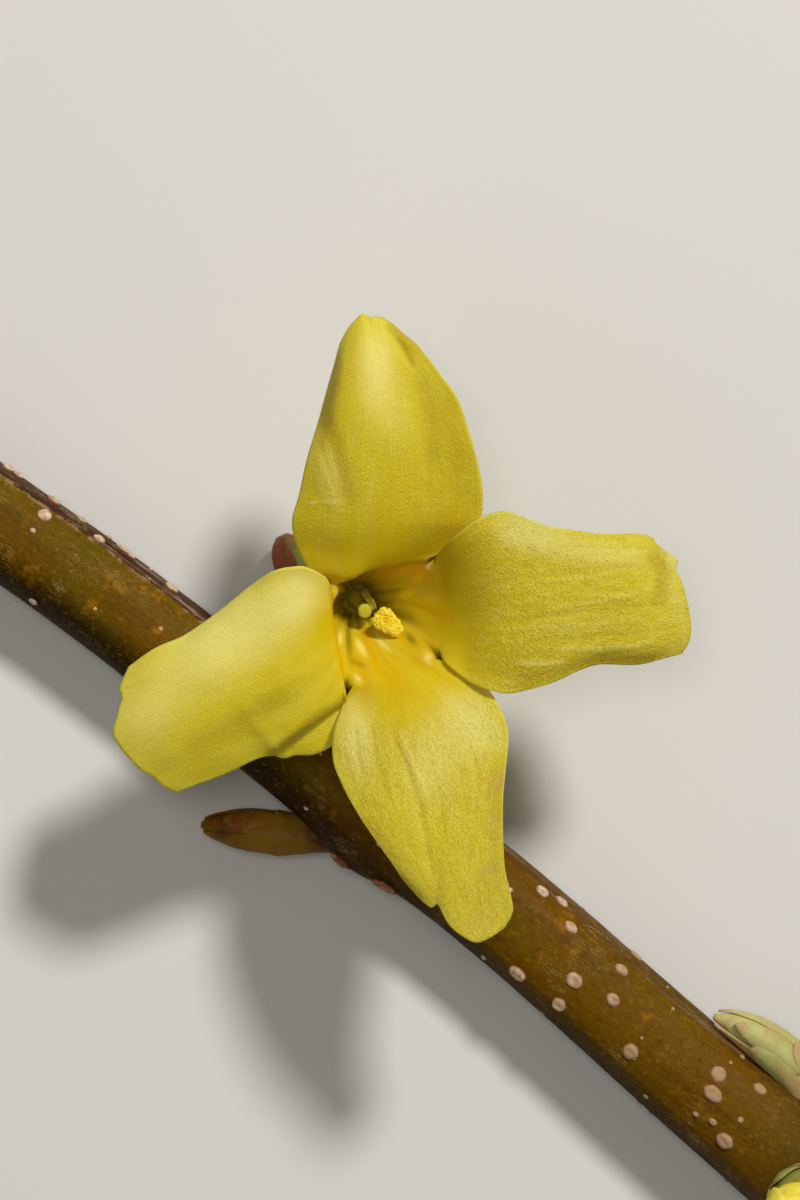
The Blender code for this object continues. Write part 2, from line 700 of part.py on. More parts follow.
def lobe_grid(lobe, columns, rows):
    """Points of a lobe, row by row from the rim to the tip."""
    base = smooth_line(lobe["base"], columns)
    tip = smooth_line(lobe["tip"] if lobe_runs_forward(lobe) else lobe["tip"][::-1], columns)
    first = smooth_line([base[0]] + lobe["first"] + [tip[0]], rows)
    second = smooth_line([base[-1]] + lobe["second"] + [tip[-1]], rows)
    grid = []
    for row in range(rows + 1):
        v = row / rows
        points = []
        for column in range(columns + 1):
            s = column / columns
            flat = (1 - v) * base[column] + v * tip[column] + (1 - s) * first[row] + s * second[row]
            flat -= (1 - s) * ((1 - v) * base[0] + v * tip[0])
            flat -= s * ((1 - v) * base[-1] + v * tip[-1])
            side = 2 * s - 1
            out = RIM_HEIGHT + value_at(lobe["rise"], v)
            out += value_at(lobe["cup"], v) * side * side
            out += value_at(lobe["lean"], v) * side
            if lobe is LEFT_LOBE:
                out -= fold_drop(flat.x, flat.y)
            points.append(Vector((flat.x, flat.y, out)))
        grid.append(points)
    return grid


def lobe_runs_forward(lobe):
    """True when the tip points start on the side of the first margin."""
    first_end = Vector(lobe["first"][-1])
    return (Vector(lobe["tip"][0]) - first_end).length < (Vector(lobe["tip"][-1]) - first_end).length


def tube_ring(rim, radius, share, out):
    ring = []
    for point in rim:
        angle = math.atan2(point.y, point.x)
        round_point = Vector((TUBE_FOOT[0] + radius * math.cos(angle), TUBE_FOOT[1] + radius * math.sin(angle)))
        flat = round_point.lerp(Vector((point.x, point.y)), share)
        ring.append(Vector((flat.x, flat.y, out)))
    return ring


def corolla_sheet(columns, rows):
    """The middle surface of the tube and its four lobes."""
    points = []
    triangles = []
    rim = []
    for lobe in (TOP_LOBE, RIGHT_LOBE, BOTTOM_LOBE, LEFT_LOBE):
        grid = lobe_grid(lobe, columns, rows)
        numbers = []
        for line in grid:
            numbers.append(list(range(len(points), len(points) + len(line))))
            points += line
        triangles += grid_triangles(numbers)
        rim += numbers[0]
    below = [points[number] for number in rim]
    following = rim
    for out, radius, share in reversed(TUBE_RINGS):
        ring = tube_ring(below, radius, share, out)
        numbers = list(range(len(points), len(points) + len(ring)))
        points += ring
        triangles += grid_triangles([numbers + numbers[:1], following + following[:1]])
        following = numbers
    return points, triangles


def build_corolla():
    material = plain_material("petal", (0.78, 0.66, 0.08), 0.5)
    points, triangles = corolla_sheet(LOBE_COLUMNS, LOBE_ROWS)
    placed = [to_part(p.x, p.y, p.z) for p in points]
    return thick_sheet("corolla", placed, triangles, BLADE, material)


def tube_wall(angle, out):
    """Where the tube's middle surface stands at an angle round its foot."""
    radius = value_at([(ring[0], ring[1]) for ring in TUBE_RINGS], out)
    share = value_at([(ring[0], ring[2]) for ring in TUBE_RINGS], out)
    round_point = Vector((TUBE_FOOT[0] + radius * math.cos(angle), TUBE_FOOT[1] + radius * math.sin(angle)))
    rim_point = Vector((RIM_RADIUS * math.cos(angle), RIM_RADIUS * math.sin(angle)))
    return round_point.lerp(rim_point, share)


def build_sepal(middle):
    outer = []
    inner = []
    for row in range(SEPAL_ROWS + 1):
        v = row / SEPAL_ROWS
        half = SEPAL_HALF_ANGLE * math.sqrt(max(1 - v**2.2, SEPAL_TIP_SHARE))
        for column in range(SEPAL_COLUMNS + 1):
            side = 2 * column / SEPAL_COLUMNS - 1
            angle = middle + half * side
            out = SEPAL_FOOT + (SEPAL_TOP - SEPAL_FOOT) * v - SEPAL_MARGIN_DROP * side * side * v
            wall = tube_wall(angle, max(out, TUBE_RINGS[0][0]))
            offset = SEPAL_OFFSET + SEPAL_LIFT * v**2 - SEPAL_HUG * side * side * v
            for points, reach in ((outer, offset + BLADE / 2), (inner, offset - BLADE / 2)):
                points.append(to_part(wall.x + reach * math.cos(angle), wall.y + reach * math.sin(angle), out))
    return shell("sepal", outer, inner, SEPAL_COLUMNS, SEPAL_ROWS)


def build_calyx():
    material = plain_material("calyx", (0.25, 0.32, 0.06), 0.55)
    line = smooth_line(STALK_LINE, STALK_STEPS)
    radii = [value_at(STALK_RADII, step / STALK_STEPS) for step in range(STALK_STEPS + 1)]
    stalk_end = line[-1] + Vector((0, 0, STALK_TIP))
    stalk = round_rod("stalk", line, radii, STALK_SIDES, material, end=stalk_end)
    foot_right, foot_up = TUBE_FOOT
    cup_rings = []
    for out, radius in CUP_RINGS:
        ring = []
        for k in range(CUP_SIDES):
            angle = 2 * math.pi * k / CUP_SIDES
            ring.append(to_part(foot_right + radius * math.cos(angle), foot_up + radius * math.sin(angle), out))
        cup_rings.append(ring)
    foot_centre = to_part(foot_right, foot_up, CUP_FOOT)
    cup = rings_to_solid("cup", cup_rings, start=foot_centre)
    sepals = [build_sepal(math.radians(degrees)) for degrees in SEPAL_ANGLES]
    return join("calyx", [stalk, cup] + sepals, material)


def build_pistil():
    material = plain_material("pistil", (0.45, 0.52, 0.12), 0.45)
    line = smooth_line([to_part(*p) for p in PISTIL_LINE], PISTIL_STEPS)
    radii = [value_at(PISTIL_RADII, step / PISTIL_STEPS) for step in range(PISTIL_STEPS + 1)]
    top = line[-1]
    along = (line[-1] - line[-2]).normalized()
    for reach, radius in STIGMA_RINGS:
        line.append(top + along * reach)
        radii.append(radius)
    return round_rod("pistil", line, radii, PISTIL_SIDES, material, end=line[-1] + along * STIGMA_DOME)


def anther_half(centre, along, aside, length, width):
    """One pollen sac, a rounded bean beside the middle groove."""
    middle = centre + aside * width * SAC_OFFSET
    line = []
    radii = []
    for step in range(SAC_STEPS + 1):
        v = step / SAC_STEPS
        line.append(middle + along * length * (v - 0.5) + aside * width * SAC_BOW * math.sin(math.pi * v))
        radii.append(width * SAC_RADIUS * math.sqrt(max(1 - (2 * v - 1) ** 4, 0.12)))
    return round_rod("sac", line, radii, SAC_SIDES)


def build_stamen(name):
    shape = STAMENS[name]
    material = plain_material(name, (0.85, 0.68, 0.1), 0.6)
    centre = to_part(*shape["anther"])
    zero = to_part(0, 0, 0)
    along = (to_part(*shape["along"]) - zero).normalized()
    aside = along.cross(Vector((0, 0, 1))).normalized()
    filament_line = [to_part(*p) for p in shape["filament"]] + [centre]
    line = smooth_line(filament_line, FILAMENT_STEPS)
    filament = round_rod("filament", line, [FILAMENT_RADIUS] * len(line), FILAMENT_SIDES)
    sacs = [anther_half(centre, along, aside * sign, shape["length"], shape["width"]) for sign in (1, -1)]
    return join(name, [filament] + sacs, material)


# Buds


def bud_place(bud, share):
    """Centre, frame and radius at a share of a bud's length, also a little past its end."""
    line = smooth_line(bud["line"], BUD_LINE_STEPS)
    frames = line_frames(line)
    index = min(int(share * BUD_LINE_STEPS), BUD_LINE_STEPS - 1)
    t = share * BUD_LINE_STEPS - index
    centre = line[index].lerp(line[index + 1], t)
    _, side, upward = frames[index]
    return centre, side, upward, value_at(bud["radius"], share)


def bud_body(bud, rows=9, sides=12, folds=0.0, twist=0.0):
    rings = []
    for row in range(rows + 1):
        share = row / rows
        centre, side, upward, radius = bud_place(bud, share)
        ring = []
        for k in range(sides):
            angle = 2 * math.pi * k / sides
            reach = radius * (1 + folds * math.cos(4 * (angle - twist * share)))
            ring.append(centre + reach * (math.cos(angle) * side + math.sin(angle) * upward))
        rings.append(ring)
    return rings_to_solid("bud_body", rings)


def bud_scale(bud, start, end, half, middle, lift):
    """One pointed scale that hugs the bud and stands a little off at its tip."""
    outer = []
    inner = []
    for row in range(SCALE_ROWS + 1):
        v = row / SCALE_ROWS
        share = start + (end - start) * v
        centre, side, upward, radius = bud_place(bud, share)
        width = half * math.sqrt(max(1 - v**2.4, SCALE_TIP_SHARE))
        for column in range(SCALE_COLUMNS + 1):
            across = 2 * column / SCALE_COLUMNS - 1
            angle = middle + width * across
            direction = math.cos(angle) * side + math.sin(angle) * upward
            proud = SCALE_PROUD + lift * v**1.5 - SCALE_HUG * across * across
            outer.append(centre + direction * (radius + proud))
            inner.append(centre + direction * max(radius + proud - SCALE_ROOT, SMALLEST_REACH))
    return shell("bud_scale", outer, inner, SCALE_COLUMNS, SCALE_ROWS)


def bud_scales(bud):
    scales = []
    for start, end, half, first, count, lift in bud["scales"]:
        for k in range(count):
            middle = math.radians(first + 360 * k / count)
            scales.append(bud_scale(bud, start, end, math.radians(half), middle, lift))
    return scales


def build_bud(name, bud, colour, cutters, rows=9, sides=12):
    material = plain_material(name, colour, 0.5)
    thing = join(name, [bud_body(bud, rows, sides)] + bud_scales(bud), material)
    for cutter in cutters:
        thing = cut_away(thing, cutter, material)
    return thing


def build_front_petals():
    """Four petals still rolled round each other."""
    material = plain_material("front_bud_petals", (0.8, 0.68, 0.08), 0.5)
    body = bud_body(FRONT_BUD, FRONT_BUD_ROWS, FRONT_BUD_SIDES, FRONT_BUD_FOLDS, FRONT_BUD_TWIST)
    return join("front_bud_petals", [body], material)


def lay_on_ground(thing):
    """Lower or raise a body so that its lowest point touches the ground."""
    lowest = min(vert.co.z for vert in thing.data.vertices)
    for vert in thing.data.vertices:
        vert.co.z -= lowest


def stalk_cutter():
    """Room for the stalk where it comes out of its scales."""
    line = smooth_line(STALK_LINE, STALK_STEPS)
    back = line[0] + (line[0] - line[1]).normalized() * STALK_ROOM_BACK
    line = [back] + line[:STALK_ROOM_STEPS]
    return round_rod("stalk_room", line, [STALK_ROOM_RADIUS] * len(line), STALK_SIDES)


def petals_cutter():
    """Room for the furled petals where they come out of their scales."""
    room = [(share, radius + GAP + FACET_ROOM) for share, radius in FRONT_BUD["radius"]]
    return bud_body({"line": FRONT_BUD["line"], "radius": room})


def build_all():
    clear_objects()
    build_twig()
    twig_room = twig_cutter()
    build_corolla()
    build_calyx()
    build_pistil()
    for name in STAMENS:
        build_stamen(name)
    stalk_room = stalk_cutter()
    build_bud("flower_bud_scales", FOOT_CUP, (0.2, 0.09, 0.03), [twig_room, stalk_room], CUP_ROWS)
    lay_on_ground(build_bud("back_bud", BACK_BUD, (0.25, 0.13, 0.05), [twig_room]))
    build_bud("side_bud", SIDE_BUD, (0.3, 0.17, 0.04), [twig_room])
    build_bud("upper_bud", UPPER_BUD, (0.35, 0.36, 0.1), [twig_room])
    build_front_petals()
    petals_room = petals_cutter()
    build_bud("front_bud_cup", FRONT_CUP, (0.3, 0.25, 0.06), [twig_room, petals_room], CUP_ROWS)
    for helper in (twig_room, stalk_room, petals_room):
        bpy.data.objects.remove(helper, do_unlink=True)


build_all()
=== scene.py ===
"""The looks of a forsythia twig with one open flower and four buds.

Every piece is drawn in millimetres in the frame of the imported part. The flower has its own
coordinates (right, up, out) from its throat centre, as seen from the front.
"""
import random
from math import acos, atan2, cos, exp, pi, radians, sin, sqrt

import bpy
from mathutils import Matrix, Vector, noise


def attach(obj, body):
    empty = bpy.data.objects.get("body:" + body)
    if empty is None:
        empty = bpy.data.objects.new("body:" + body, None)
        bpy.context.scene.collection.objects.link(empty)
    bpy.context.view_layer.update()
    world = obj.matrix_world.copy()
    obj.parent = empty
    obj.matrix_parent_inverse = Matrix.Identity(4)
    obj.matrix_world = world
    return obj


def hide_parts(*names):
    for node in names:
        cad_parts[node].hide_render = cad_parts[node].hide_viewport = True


MM = 0.001
# Steps of a curve between two of its points.
SPAN_STEPS = 24

# Twig
TWIG_HALF = 40.0
TWIG_LINE = [
    (-40, -1.1), (-28, -0.5), (-20, -0.1), (-2.5, 0.0), (7, 0.1), (21.5, -0.6), (29, -0.9), (40, -1.7),
]
TWIG_RADIUS = [
    (-40, 2.78), (-20, 2.87), (-6, 2.9), (-2.5, 3.0), (3, 2.95), (12, 2.98), (21, 3.08), (28, 3.2),
    (40, 3.15),
]
TWIG_STEP = 0.28
TWIG_SIDES = 132
TWIG_ANGLES = [2 * pi * (k + 0.5) / TWIG_SIDES for k in range(TWIG_SIDES)]
FLAT_DEPTH = 0.12
CORNER_DEPTH = 0.022
CORNER_ANGLE = radians(41)
CUT_SLOPE = 0.28
CUT_BEVEL = 0.14
CUT_ROOM = 1.2
# How the sawn face steps inward, and the pith pit as shares of its radius and depths.
CUT_SHARES = (0.955, 0.93, 0.9, 0.8, 0.7, 0.6, 0.5, 0.4, 0.33)
PITH_RADIUS = 0.85
PITH_STEPS = ((0.9, 0.08), (0.85, 0.35), (0.55, 0.5), (0.2, 0.4))
RIB_HEIGHT = 0.06
RIB_WIDTH = 0.07
# Fine lines of the ridge: share, scale along, scale across, seed.
RIDGE_LINES = ((1.0, 0.3, 26, 4), (0.5, 0.8, 50, 9))
RIDGE_LINE_HEIGHT = 0.035
# Unevenness of the bark: height, scale along, scale round it.
BARK_RIPPLES = ((0.02, 0.35, 4), (0.012, 1.1, 17))
# Swellings at the nodes: along, angle in degrees from +Y up, length, spread, height.
SWELLINGS = [
    (-2.6, 10, 2.6, 0.75, 0.42),
    (-1.2, 178, 2.4, 0.7, 0.5),
    (27.6, 14, 2.6, 0.7, 0.5),
    (29.3, 98, 2.4, 0.7, 0.4),
]
# Lenticels in view from above: along, across, length, width.
LENTICELS_ABOVE = [
    (-36.0, 1.2, 0.9, 0.5), (-32.6, -0.6, 0.8, 0.5), (-29.2, 2.2, 0.8, 0.6), (-28.5, 2.35, 0.7, 0.5),
    (-26.1, 2.5, 0.9, 0.6), (-24.3, 2.6, 0.8, 0.6), (-22.8, 2.2, 0.8, 0.6), (-21.5, 2.65, 0.9, 0.6),
    (-20.9, 2.6, 0.6, 0.5), (-18.1, 2.6, 0.9, 0.6), (-25.9, 1.4, 0.9, 0.75), (-23.5, -2.6, 0.6, 0.5),
    (-11.5, 0.7, 0.7, 0.5),
    (8.1, 2.2, 0.9, 0.6), (9.3, 2.4, 0.9, 0.6), (10.5, 1.7, 0.9, 0.6), (14.1, 1.6, 0.9, 0.6),
    (14.4, 2.7, 0.8, 0.5), (12.4, -0.4, 1.1, 0.9), (14.7, 0.1, 0.9, 0.7), (9.8, -2.0, 1.2, 0.9),
    (12.6, -1.9, 0.9, 0.8), (17.2, -1.5, 1.0, 0.9), (21.7, 0.5, 1.0, 0.9), (22.1, -0.5, 1.2, 0.9),
    (24.2, -2.1, 1.1, 0.9),
    (24.0, 1.2, 0.9, 0.6), (33.5, 1.1, 1.0, 0.8), (36.6, -1.4, 0.9, 0.7),
]
# Lenticels on the sides and underneath: along, angle in degrees from +Y up.
LENTICELS_BELOW = [
    (-34, 205), (-27, 330), (-19, 215), (-13, 320), (-9, 212), (7, 322), (13, 208), (19, 330), (25, 212),
    (35, 325),
]
LENTICEL_HEIGHT = 0.21
LENTICEL_RAGGED = 0.16
LENTICEL_DENT = 0.28
LENTICEL_LUMPS = 0.12
LENTICEL_SKIRT = 1.12
# Rings and spokes of a small lenticel and of a broad one.
LENTICEL_MESH = ((3, 12), (6, 22))
BROAD_LENTICEL = 0.45
SMALL_LENTICELS = 110
# Leaf scars below the buds: along, angle in degrees, length, width.
LEAF_SCARS = [
    (-1.6, 166, 1.4, 1.1), (1.2, 160, 1.7, 1.1), (1.0, 22, 2.0, 1.5), (30.4, 22, 2.0, 1.6),
    (32.0, 98, 2.0, 1.6),
]
LEAF_SCAR_HEIGHT = 0.32

# Flower
FLOWER_CENTRE = (-7.7, 8.55)
FLOWER_TURN = radians(38.5)
PETAL_THICKNESS = 0.3
MARGIN_THICKNESS = 0.16
RIM_HEIGHT = 13.0
TUBE_FOOT = (-1.6, 1.2)
# Rings of the tube: height, radius about the foot, share of the rim's shape.
TUBE_RINGS = [
    (7.0, 1.7, 0.0), (8.0, 1.9, 0.02), (9.0, 2.1, 0.07), (10.0, 2.25, 0.18), (10.9, 2.45, 0.34),
    (11.6, 2.6, 0.52), (12.2, 2.7, 0.72), (12.65, 2.75, 0.87), (13.0, 2.8, 1.0),
]
# The same for the tube as it looks from inside, a funnel.
THROAT_RINGS = [
    (7.0, 0.3, 0.0), (7.2, 0.75, 0.0), (7.6, 0.98, 0.01), (8.0, 1.05, 0.02), (9.0, 1.25, 0.06),
    (10.0, 1.55, 0.16), (10.9, 1.95, 0.32),
    (11.6, 2.3, 0.5), (12.2, 2.55, 0.7), (12.65, 2.7, 0.87), (13.0, 2.8, 1.0),
]
LOBE_COLUMNS = 60
LOBE_ROWS = 84
TUBE_ROWS = 30
SINUS_COLUMNS = 8
TUBE_PLEAT = 0.04
RIM_RADIUS = 3.1

# Each lobe is drawn as (right, up) points from the throat centre, seen from the front.
# base runs along the rim, first and second are its margins and tip is its outer end.
# rise is the height over the rim along the middle, cup lifts both margins and lean lifts
# the second margin over the first. veins is how deep its wrinkles are, and nectar is how
# far the orange of the throat runs up the lobe.
LOBES = {
    "top": {
        "base": [(-2.95, 2.35), (-1.75, 2.3), (-0.8, 2.75), (0.7, 3.05), (2.3, 3.3)],
        "first": [
            (-3.3, 2.45), (-4.1, 2.8), (-4.8, 4.3), (-4.95, 5.4), (-4.6, 6.6), (-4.15, 8.5), (-3.5, 10.7),
            (-3.0, 12.5),
        ],
        "tip": [
            (-2.4, 14.6), (-1.95, 15.4), (-1.3, 16.1), (-0.9, 15.95), (-0.5, 16.0), (0.15, 15.75),
            (0.95, 14.95),
        ],
        "second": [
            (2.8, 3.7), (3.5, 4.15), (4.3, 4.75), (4.9, 5.4), (5.05, 6.7), (4.8, 8.25), (4.35, 9.85),
            (3.7, 11.7), (2.8, 12.95), (1.75, 14.3),
        ],
        "rise": [(0, 0), (0.12, 0.9), (0.3, 2.0), (0.55, 2.9), (0.8, 3.0), (1, 2.2)],
        "cup": [(0, 0), (0.1, -0.6), (0.2, -0.85), (0.45, -0.5), (0.8, -0.2), (1, -0.1)],
        "lean": [(0, 0), (0.5, 0.1), (1, 0.0)],
        "veins": 0.5,
        "nectar": 0.06,
    },
    "right": {
        "base": [(2.48, 3.02), (2.95, 1.7), (3.05, 0.5), (3.0, -0.6), (2.8, -1.55)],
        "first": [
            (2.65, 3.45), (3.1, 4.05), (3.75, 4.65), (4.6, 5.3), (5.4, 5.65), (6.2, 5.8), (7.4, 5.4),
            (8.3, 5.05), (9.1, 4.9), (11.2, 4.6), (13.3, 4.6),
        ],
        "tip": [
            (13.95, 4.4), (14.4, 3.85), (15.25, 3.25), (15.2, 2.75), (15.6, 1.7), (15.95, 0.1),
            (15.9, -0.95), (15.5, -1.65),
        ],
        "second": [
            (3.1, -2.15), (3.9, -2.85), (4.8, -3.4), (6.2, -3.75), (7.0, -3.65), (8.05, -3.4),
            (9.1, -3.0), (10.15, -2.5), (11.2, -2.2), (13.3, -2.2),
        ],
        "rise": [(0, 0), (0.12, 0.9), (0.3, 1.9), (0.55, 2.4), (0.8, 2.3), (1, 1.6)],
        "cup": [(0, 0), (0.08, 0.6), (0.2, 0.8), (0.4, 0.4), (0.65, -0.1), (0.85, -0.4), (1, -0.3)],
        "lean": [(0, 0), (0.15, -0.75), (0.5, 0.0), (1, 0.0)],
        "veins": 0.9,
        "nectar": 0.16,
    },
    "bottom": {
        "base": [(2.45, -2.0), (1.6, -2.6), (0.5, -2.9), (-0.7, -3.1), (-1.75, -3.3)],
        "first": [
            (3.15, -2.1), (4.1, -2.6), (5.0, -3.2), (5.6, -3.9), (6.0, -4.6), (6.3, -5.3), (6.4, -6.3),
            (6.1, -9.35), (6.15, -12.5), (6.45, -14.1),
        ],
        "tip": [
            (6.6, -15.05), (6.35, -15.7), (5.95, -16.15), (4.8, -16.75), (3.85, -16.35), (3.0, -15.6),
            (2.2, -14.85), (1.6, -14.3),
        ],
        "second": [
            (-2.15, -4.0), (-2.5, -4.9), (-2.8, -6.0), (-2.8, -7.4), (-2.2, -8.85), (-1.4, -10.25),
            (-0.35, -11.75), (0.8, -13.3),
        ],
        "rise": [(0, 0), (0.12, 0.6), (0.3, 1.3), (0.6, 2.1), (0.85, 2.6), (1, 2.7)],
        "cup": [(0, 0), (0.1, -0.45), (0.25, -0.45), (0.5, -0.15), (0.8, 0.1), (1, -0.2)],
        "lean": [(0, 0), (0.15, -0.5), (0.35, -0.3), (0.6, 0.0), (1, 0.0)],
        "veins": 0.7,
        "nectar": 0.2,
    },
    "left": {
        "base": [(-2.4, -2.9), (-2.55, -1.8), (-2.75, -0.8), (-2.9, 0.3), (-2.95, 1.6)],
        "first": [
            (-2.25, -3.6), (-2.1, -4.4), (-2.2, -5.4), (-2.7, -6.4), (-3.8, -7.0), (-4.8, -7.05),
            (-5.4, -7.2), (-6.1, -7.05), (-6.95, -7.25), (-8.5, -8.0), (-10.1, -8.6),
        ],
        "tip": [
            (-11.1, -9.0), (-11.8, -8.7), (-12.35, -8.2), (-13.25, -7.6), (-14.4, -6.1), (-14.25, -5.05),
            (-14.0, -4.05), (-14.1, -3.5), (-13.65, -2.4),
        ],
        "second": [
            (-3.2, 2.3), (-3.6, 2.6), (-4.3, 2.9), (-4.85, 2.9), (-5.9, 2.7), (-7.2, 1.85), (-8.5, 0.8),
            (-9.85, -0.2), (-10.9, -0.85), (-12.2, -1.4),
        ],
        "rise": [(0, 0), (0.1, 0.5), (0.3, 0.9), (0.6, 0.85), (0.85, 0.4), (1, -0.2)],
        "cup": [(0, 0), (0.08, 0.55), (0.2, 0.5), (0.4, -0.2), (0.7, -0.6), (1, -0.4)],
        "lean": [(0, 0), (0.08, 0.35), (0.25, 0.5), (0.5, 0.2), (1, 0.0)],
        "veins": 0.3,
        "nectar": 0.06,
    },
}
LOBE_NAMES = tuple(LOBES)
# Folded margins: start and end of the fold, its width and how far the margin drops behind it.
FOLDS = {
    "left": ((-2.4, -3.95), (-6.4, -6.9), 0.4, 1.05),
    "top": ((-0.5, 15.7), (1.3, 14.4), 0.35, 0.6),
}
# Waves across a lobe: heights from the first margin to the second, and where along the lobe.
WAVES = {
    "top": (
        [(0, -0.75), (0.13, -0.1), (0.36, 0.22), (0.66, -0.22), (1, 0.1)],
        [(0.15, 0), (0.4, 0.8), (0.8, 1), (1, 0.5)],
    ),
    "right": ([(0, -0.1), (0.3, 0.15), (0.7, 0.0), (1, -0.35)], [(0.1, 0), (0.45, 1), (0.8, 0.7), (1, 0.2)]),
    "bottom": ([(0, 0.0), (0.4, 0.12), (0.75, 0.1), (1, -0.35)], [(0.2, 0), (0.5, 1), (0.9, 0.6), (1, 0.3)]),
    "left": (
        [(0, -0.45), (0.25, 0.0), (0.5, 0.28), (0.8, 0.1), (1, -0.25)],
        [(0.1, 0), (0.35, 1), (0.8, 0.8), (1, 0.3)],
    ),
}
# Creases and raised veins of each lobe, painted with shade and with highlights: (right, up) points, width
# and depth; a negative depth rises.
CREASES = {
    "right": [
        ([(4.8, 2.0), (10.2, 2.63), (14.6, 3.2)], 0.2, 0.035),
        ([(5.5, 2.2), (10.2, 2.3), (13.6, 3.0)], 0.12, -0.05),
        ([(6.4, 0.3), (10.8, 1.05), (14.1, 1.75)], 0.12, -0.06),
        ([(6.2, 0.0), (10.2, 0.55), (14.3, 0.95)], 0.16, 0.04),
        ([(5.1, -0.4), (8.3, -0.25), (13.9, 0.2)], 0.12, -0.05),
        ([(6.7, -1.0), (11.2, -0.7), (14.9, -0.3)], 0.16, 0.035),
        ([(8.0, -1.4), (12.2, -1.28), (14.6, -0.75)], 0.13, -0.075),
        ([(6.4, -2.15), (8.2, -2.15), (9.8, -2.0)], 0.12, -0.05),
        ([(13.4, 3.9), (14.3, 3.0), (14.4, 1.6), (13.8, 0.4)], 0.5, 0.16),
    ],
    "top": [
        ([(-3.3, 11.4), (-3.0, 10.0), (-2.2, 7.6), (-1.7, 5.6)], 0.42, 0.07),
        ([(-3.4, 10.2), (-2.85, 8.4), (-2.5, 7.2)], 0.1, -0.05),
        ([(-3.8, 9.4), (-3.1, 7.6), (-2.6, 6.3)], 0.1, -0.06),
        ([(-3.5, 9.6), (-2.9, 7.6), (-2.2, 5.9)], 0.14, 0.035),
        ([(-3.9, 7.8), (-3.5, 6.6), (-3.0, 5.4)], 0.14, 0.035),
        ([(-4.3, 6.2), (-3.1, 6.35), (-1.9, 6.2)], 0.12, -0.04),
        ([(0.1, 9.9), (0.2, 6.6), (0.1, 4.6)], 0.16, 0.03),
        ([(1.6, 13.6), (2.3, 10.6), (2.4, 7.5)], 0.6, 0.05),
        ([(-0.3, 15.8), (0.5, 14.9), (1.6, 13.0)], 0.24, 0.13),
    ],
    "bottom": [
        ([(-1.6, -5.2), (-1.5, -6.8), (-1.0, -8.6)], 0.15, 0.04),
        ([(-0.8, -5.0), (-0.4, -7.3), (0.2, -9.3)], 0.16, 0.055),
        ([(-0.1, -4.9), (1.2, -7.8), (1.8, -9.8), (2.2, -11.8), (2.6, -14.3)], 0.2, 0.075),
        ([(0.5, -5.5), (1.7, -8.0), (2.4, -10.2)], 0.13, -0.05),
        ([(1.7, -4.9), (2.8, -8.8), (3.4, -13.0), (4.8, -15.9)], 0.16, 0.05),
        ([(4.2, -5.6), (4.8, -8.2), (4.6, -10.8)], 0.15, 0.04),
    ],
    "left": [
        ([(-4.2, -3.4), (-7.7, -5.2), (-11.4, -7.0)], 0.7, 0.05),
    ],
}
CREASE_STEPS = 26
# Painted highlights and painted shade on the lobes: right, up, half length, half width, turn in degrees and
# amount, above 0 where paler.
LOBE_LIGHT_AND_SHADE = [
    (-0.6, 13.5, 2.3, 1.1, 90, 0.9), (0.4, 10.6, 2.2, 1.6, 90, 0.4), (-3.0, 12.1, 2.1, 0.5, 75, -0.95),
    (-2.9, 7.8, 2.2, 1.1, 100, 0.6), (-2.7, 4.0, 2.2, 1.1, -15, -0.7), (2.3, 4.3, 2.6, 1.1, 25, -0.75),
    (3.6, 9.6, 3.5, 1.0, 105, -0.5), (0.8, 14.8, 1.2, 0.32, 132, -1.0), (-2.6, 10.0, 1.6, 0.3, 112, -0.6),
    (7.2, 4.7, 2.4, 1.0, -12, 1.0), (11.6, 3.5, 2.8, 0.8, -5, 0.6), (4.0, 1.2, 2.8, 1.6, 90, -0.9),
    (6.5, -2.6, 2.8, 0.9, -8, -0.6), (12.5, -2.0, 3.4, 0.4, 0, -0.9), (14.2, 2.3, 1.2, 0.3, 100, -0.45),
    (15.0, 3.2, 0.6, 0.35, 120, 0.8), (14.9, 1.6, 1.2, 0.3, 100, 0.5), (15.5, 0.4, 1.6, 0.3, 95, 0.4),
    (9.5, 0.6, 2.8, 1.6, 6, 0.2),
    (-1.6, -6.1, 2.4, 1.0, 95, 0.85), (4.7, -5.4, 2.2, 1.4, -50, 0.85), (2.3, -7.5, 2.4, 1.9, 90, 0.6),
    (-0.4, -11.5, 2.8, 0.45, 126, -0.9), (2.8, -12.8, 1.8, 0.4, 93, -0.5), (4.8, -14.6, 1.7, 1.6, 0, -0.4),
    (5.6, -9.9, 2.8, 0.5, 90, -0.4), (1.2, -3.9, 1.0, 1.0, 0, -0.35),
    (-8.0, -0.6, 5.2, 2.0, 32, 0.85), (-4.7, 1.5, 1.4, 0.9, 60, 0.5), (-6.4, -4.4, 4.2, 1.0, 33, -0.55),
    (-12.6, -5.2, 1.9, 1.5, 40, 0.4),
    (-3.2, -0.6, 1.3, 0.5, 85, -0.35), (-4.4, -5.5, 2.6, 0.28, 38, -1.0), (-10.2, -8.0, 2.4, 0.5, 25, -0.4),
]
# The throat's painted highlights and painted shade, and its orange patches, told in the same way.
THROAT_LIGHT_AND_SHADE = [
    (-2.57, -0.93, 0.42, 0.17, 95, 1.0), (-2.08, -0.85, 1.2, 0.27, 96, -1.0),
    (-1.72, -0.35, 0.3, 0.1, 90, 0.8),
    (-1.4, -1.5, 0.62, 0.2, -58, 1.0), (-0.2, -1.25, 0.66, 0.17, -40, 0.9),
    (1.34, -0.93, 0.46, 0.22, -50, -0.8),
    (0.7, 0.5, 1.5, 0.42, -24, -0.9), (0.2, 1.7, 1.6, 0.28, 14, -0.5), (-1.45, -2.35, 0.5, 0.22, -20, -0.6),
    (-1.9, 0.35, 1.0, 0.3, 10, -0.45), (1.2, 2.0, 1.4, 0.2, 10, 0.25),
    (-1.7, 1.4, 0.9, 0.8, 0, 0.75), (-0.1, -0.65, 0.7, 0.25, -15, 0.6),
]
